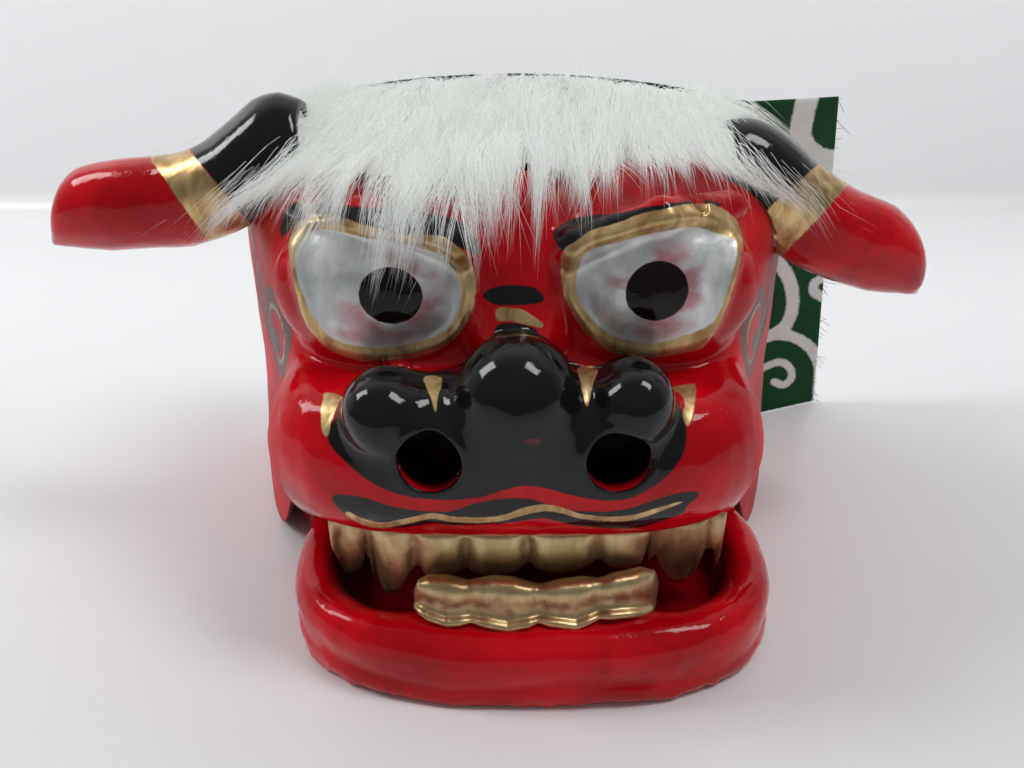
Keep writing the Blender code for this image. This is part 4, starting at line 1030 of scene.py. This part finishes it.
# The white pile glows faintly: painted light that lifts the shade between the hairs.
fur_finish, wire = new_finish("white_pile", 0.8, Specular_IOR_Level=0.2, Emission_Color=(0.93, 0.96, 0.93, 1))
fur_finish.node_tree.nodes["Principled BSDF"].inputs["Emission Strength"].default_value = 0.15
join(fur_finish, Base_Color=grain(wire, 60, 3).mixed((0.84, 0.86, 0.83), (0.94, 0.95, 0.93)))

# The dense underfur is one mat of locks, and the hairs stand on it
columns, rows = 200, 64
grid_across, grid_turn = np.meshgrid(
    np.linspace(-1, 1.1, columns + 1), np.linspace(0, 1, rows + 1), indexing="ij")


def uneven(across, along, shift):
    """Noise over the mat's grid, with lumps of about one unit."""
    places = np.stack([across.ravel(), along.ravel(), 0 * across.ravel()], -1)
    return lumps(places, 1.0, shift).reshape(across.shape)


ragged = uneven(grid_across * 9, 0 * grid_across, 3.3) + 0.7 * uneven(grid_across * 27, 0 * grid_across, 6.1)
front_turn = fringe_turn(grid_across) - np.radians(14 - 6 * ragged)
turn = FUR_BACK + (front_turn - FUR_BACK) * grid_turn
body = 0.62 * np.sin(math.pi * (0.06 + 0.937 * grid_turn)) ** 0.6
body = body * (1 - 0.85 * np.abs(grid_across / 1.1) ** 6)
locks = uneven(grid_across * 15 + grid_turn * 2.2, grid_turn * 1.9, 8.0)
locks = 1 + 0.55 * locks * np.minimum(1, 3 * grid_turn)
height = pile_height(grid_across, turn) * body * locks
top = fur_place(grid_across, turn, np.maximum(height, 0.0010))
under = fur_place(grid_across, turn, 0 * height + 0.0002)
vertices = np.concatenate([top.reshape(-1, 3), under.reshape(-1, 3)])
step, first = rows + 1, (columns + 1) * (rows + 1)
faces = []
for i in range(columns):
    for j in range(rows):
        ring = [i * step + j, (i + 1) * step + j, (i + 1) * step + j + 1, i * step + j + 1]
        faces += [ring, [first + k for k in reversed(ring)]]
border = [i * step for i in range(columns + 1)] + [columns * step + j for j in range(1, rows + 1)]
border += [i * step + rows for i in range(columns - 1, -1, -1)] + [j for j in range(rows - 1, 0, -1)]
for a, b in zip(border, border[1:] + border[:1]):
    faces.append([b, a, first + a, first + b])
mesh = bpy.data.meshes.new("underfur")
mesh.from_pydata(vertices.tolist(), [], faces)
shaped = bmesh.new()
shaped.from_mesh(mesh)
bmesh.ops.recalc_face_normals(shaped, faces=shaped.faces)
shaped.to_mesh(mesh)
shaped.free()
mesh.shade_smooth()
underfur = put_in("underfur", mesh)
# The mat is a darker grey than the hairs: painted shade under the hairs.
mat_finish, wire = new_finish("dense_pile", 0.9, Specular_IOR_Level=0.1)
join(mat_finish, Base_Color=grain(wire, 60, 3).mixed((0.66, 0.68, 0.66), (0.80, 0.81, 0.79)))
underfur.data.materials.append(mat_finish)
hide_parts("forelock")
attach(underfur, "head")

rng = np.random.default_rng(17)
HAIRS = 6850
CLUMPS = 80
# The shares of a hair's length at which it has its points
HAIR_STEPS = np.array([0.0, 0.12, 0.32, 0.56, 0.79, 1.0])
for layer in range(3):
    root_across = rng.uniform(-1.02, 1.12, HAIRS)
    at_end = rng.random(HAIRS) < 0.08
    end_side = np.where(rng.random(at_end.sum()) < 0.5, -1.0, 1.08)
    root_across[at_end] = end_side * rng.uniform(0.86, 1.04, at_end.sum())
    fringe = fringe_turn(root_across)
    root_turn = FUR_BACK + rng.uniform(0, 1, HAIRS) ** 0.68 * (fringe - math.radians(27) - FUR_BACK)
    root_turn[at_end] = FUR_BACK + rng.uniform(0.1, 1.0, at_end.sum()) * math.radians(52)
    clump_across = rng.uniform(-1.04, 1.14, CLUMPS)
    clump_span = fringe_turn(clump_across) - math.radians(25) - FUR_BACK
    clump_turn = FUR_BACK + rng.uniform(0, 1, CLUMPS) * clump_span
    clump_lean = rng.normal(-0.08, 0.085, CLUMPS)
    clump_reach = np.radians(rng.normal(33, 3.5, CLUMPS))
    apart = (root_across[:, None] - clump_across) ** 2 * 0.0042
    apart = apart + (root_turn[:, None] - clump_turn) ** 2 * 0.0030
    mine = apart.argmin(1)
    beside = (root_across - clump_across[mine]) / 0.12
    pull = rng.uniform(0.66, 0.98, HAIRS)
    loose = rng.random(HAIRS) < 0.06
    pull[loose] = 0.0
    reach = pile_height(root_across, root_turn)
    rise = reach * rng.uniform(0.55, 1.12, HAIRS) + loose * rng.uniform(0.0, 0.005, HAIRS)
    rise[at_end] += rng.uniform(-0.002, 0.008, at_end.sum())
    length = clump_reach[mine] * (1 - 0.18 * np.minimum(np.abs(beside), 1.4))
    length = length + np.radians(rng.normal(0, 2.2, HAIRS))
    end_turn = root_turn + length + loose * np.radians(rng.uniform(0, 5, HAIRS))
    end_across = root_across + (clump_across[mine] - root_across) * pull + clump_lean[mine]
    end_across = end_across + rng.normal(0, 0.012, HAIRS) + loose * rng.normal(0, 0.09, HAIRS)
    flare = rng.random(HAIRS) ** np.where(at_end, 0.9, 2.0)
    flare = flare * smooth_step((np.abs(root_across - 0.05) - 0.72) / 0.3)
    end_across = end_across + np.sign(root_across) * flare * 0.64
    paths = []
    for share in HAIR_STEPS:
        across = root_across + (end_across - root_across) * share**1.4
        turn = root_turn + (end_turn - root_turn) * share
        height = rise * (1 - np.exp(-5 * share)) * (1 - 0.35 * share**2) + 0.0004
        paths.append(fur_place(across, turn, height))
    paths = np.stack(paths, 1)
    thick = rng.uniform(0.00009, 0.00015, HAIRS)
    radii = thick[:, None] * (1 - 0.75 * HAIR_STEPS[:-1] ** 1.5)
    hairs = tube_mesh(f"fur_hairs_{layer + 1}", paths, radii)
    hairs.data.materials.append(fur_finish)
    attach(hairs, "head")


# The cape: a panel of dark green cotton printed with a pale vine scroll, hung on the head's back rim, with a
# raw flap that stands out past the right wall.

CAPE_COLUMNS, CAPE_ROWS = 160, 90
# The hem hangs a little above the foot of the frame's cape
cape_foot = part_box("cape")[0].z + 0.0003
HALF = 0.112
RUN_START, RUN_END, FLAP = -HALF * 0.985, HALF * 0.97, 0.056
share, down = np.meshgrid(
    np.linspace(0, 1, CAPE_COLUMNS + 1), np.linspace(0, 1, CAPE_ROWS + 1), indexing="ij")
run = share * (RUN_END - RUN_START + FLAP)
x = RUN_START + np.minimum(run, RUN_END - RUN_START)
past = np.maximum(run - (RUN_END - RUN_START), 0)
cape_top = 0.179 - 0.013 * np.minimum((x / HALF) ** 2, 0.93)
fold = 0.010 * (0.5 - 0.5 * np.cos(2 * math.pi * 5 * np.minimum(run / (RUN_END - RUN_START), 1)))
y = 0.1004 + fold * smooth_step((down - 0.08) / 0.6) + past * 0.45
z = cape_top * (1 - down) + cape_foot * down
cape_points = np.stack([x * (1 + 0.05 * down) + past * (0.9 + 0.16 * down), y, z], -1)
flat_place = np.stack([run * 1000, (1 - down) * 178], -1).reshape(-1, 2)
mesh = bpy.data.meshes.new("printed_cape")
step = CAPE_ROWS + 1
faces = []
for i in range(CAPE_COLUMNS):
    for j in range(CAPE_ROWS):
        faces.append([i * step + j, i * step + j + 1, (i + 1) * step + j + 1, (i + 1) * step + j])
mesh.from_pydata(cape_points.reshape(-1, 3).tolist(), [], faces)
cape = put_in("printed_cape", mesh)
flap_spots = painted_place(cape_points.reshape(-1, 3))
FLAP_VINES = (
    ([(78.4, 184.7), (77.6, 175.3), (78.6, 170.9), (82.2, 167.5), (87.1, 166.0), (93.5, 164.6)], 6.0),
    ([(78.6, 170.9), (76.3, 168.7), (72.8, 163.4), (66.0, 158.0)], 5.0),
    ([(70.4, 142.4), (77.5, 136.2), (81.1, 131.2), (83.0, 124.2), (82.2, 118.0), (78.5, 114.4),
      (72.8, 113.0)], 3.9),
    ([(78.5, 114.4), (85.0, 113.5), (90.7, 109.8), (94.2, 104.2), (95.1, 98.5), (95.9, 88.8)], 3.4),
    ([(74.2, 101.3), (81.1, 105.2), (85.2, 103.3), (86.2, 99.5), (83.9, 97.4), (81.0, 98.5)], 2.4),
    ([(94.5, 133.9), (88.9, 131.2), (89.1, 127.7), (95.7, 124.8)], 2.8),
)
flap_print = np.min([stroke_distance(flap_spots, line, width) for line, width in FLAP_VINES], axis=0)


def scroll(middle, radius, start, turns, sense):
    """A curl of vine that winds in towards its middle."""
    shares = np.linspace(0, 1, 14)
    angle = math.radians(start) + sense * shares * turns * 2 * math.pi
    reach = radius * (1 - 0.74 * shares)
    return np.stack([middle[0] + reach * np.cos(angle), middle[1] + reach * np.sin(angle)], -1)


panel_print = np.full(len(flat_place), 1e9)
for row in range(4):
    for column in range(5):
        middle = (14 + column * 52 + 26 * (row % 2), 22 + row * 46)
        sense = 1 if (row + column) % 2 else -1
        curl = scroll(middle, 18, 90 + 130 * column + 70 * row, 1.15, sense)
        panel_print = np.minimum(panel_print, stroke_distance(flat_place, curl, np.linspace(8.5, 5.5, 14)))
        stem = [curl[0], curl[0] + (curl[0] - curl[2]) * 1.1, curl[0] + (curl[0] - curl[2]) * 2.0 + (6, 9)]
        panel_print = np.minimum(panel_print, stroke_distance(flat_place, stem, [8.5, 7.5, 3.0]))
on_flap = past.ravel() > 0.002
give(cape, vine_edge=np.where(on_flap, flap_print, panel_print))
shape_by(cape, "SOLIDIFY", thickness=0.0008, offset=0)
cape.data.shade_smooth()
cape_finish, wire = new_finish("printed_cotton", 0.9, Specular_IOR_Level=0.12)
place = wire.node("TexCoord", output=3)
woof, warp = (
    wire.node("TexWave", {"bands_direction": way}, {"Vector": place, "Scale": 330, "Distortion": 0.6})
    for way in "ZX"
)
weave = woof * warp
green = grain(wire, 60, 4).mixed((0.008, 0.045, 0.016), (0.018, 0.085, 0.030))
green = (weave * 0.4).mixed(green, (0.025, 0.11, 0.045))
pale = grain(wire, 150, 3).mixed((0.74, 0.73, 0.69), (0.88, 0.88, 0.85))
colour = edge_mask(wire, "vine_edge", 0.4, 0.8).mixed(green, pale)
join(cape_finish, Base_Color=colour, Normal=bumped(wire, weave, 0.0003, 0.6))
cape.data.materials.append(cape_finish)
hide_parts("cape")
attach(cape, "head")

# Loose threads along the flap's raw edge and hem
THREADS = 90
raw = cape_points[-1]
hem = cape_points[past[:, 0] > 0.004, -1]
at_hem = rng.random(THREADS) < 0.3
starts = raw[rng.integers(1, CAPE_ROWS - 1, THREADS)]
starts[at_hem] = hem[rng.integers(0, len(hem), at_hem.sum())] + (0, 0, 0.0012)
shares = np.linspace(0, 1, 5)[None, :, None]
outwards = rng.uniform(0.2, 1.0, THREADS)
away = np.stack([outwards, rng.normal(0, 0.4, THREADS), rng.normal(-0.4, 0.5, THREADS)], -1)
away[at_hem, 2] = np.abs(away[at_hem, 2]) * 0.1
curl = rng.normal(0, 0.45, (THREADS, 3)) * (1, 1, 0.6)
reach = rng.uniform(0.0015, 0.0065, THREADS)[:, None, None]
paths = starts[:, None] + reach * (away[:, None] * shares + curl[:, None] * shares**2)
paths[..., 2] = np.maximum(paths[..., 2], 0.0004)
threads = tube_mesh("frayed_threads", paths, np.full((THREADS, 4), 0.00011))
thread_finish, wire = new_finish("green_thread", 0.9)
join(thread_finish, Base_Color=grain(wire, 300, 2).mixed((0.012, 0.06, 0.022), (0.04, 0.15, 0.06)))
threads.data.materials.append(thread_finish)
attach(threads, "head")
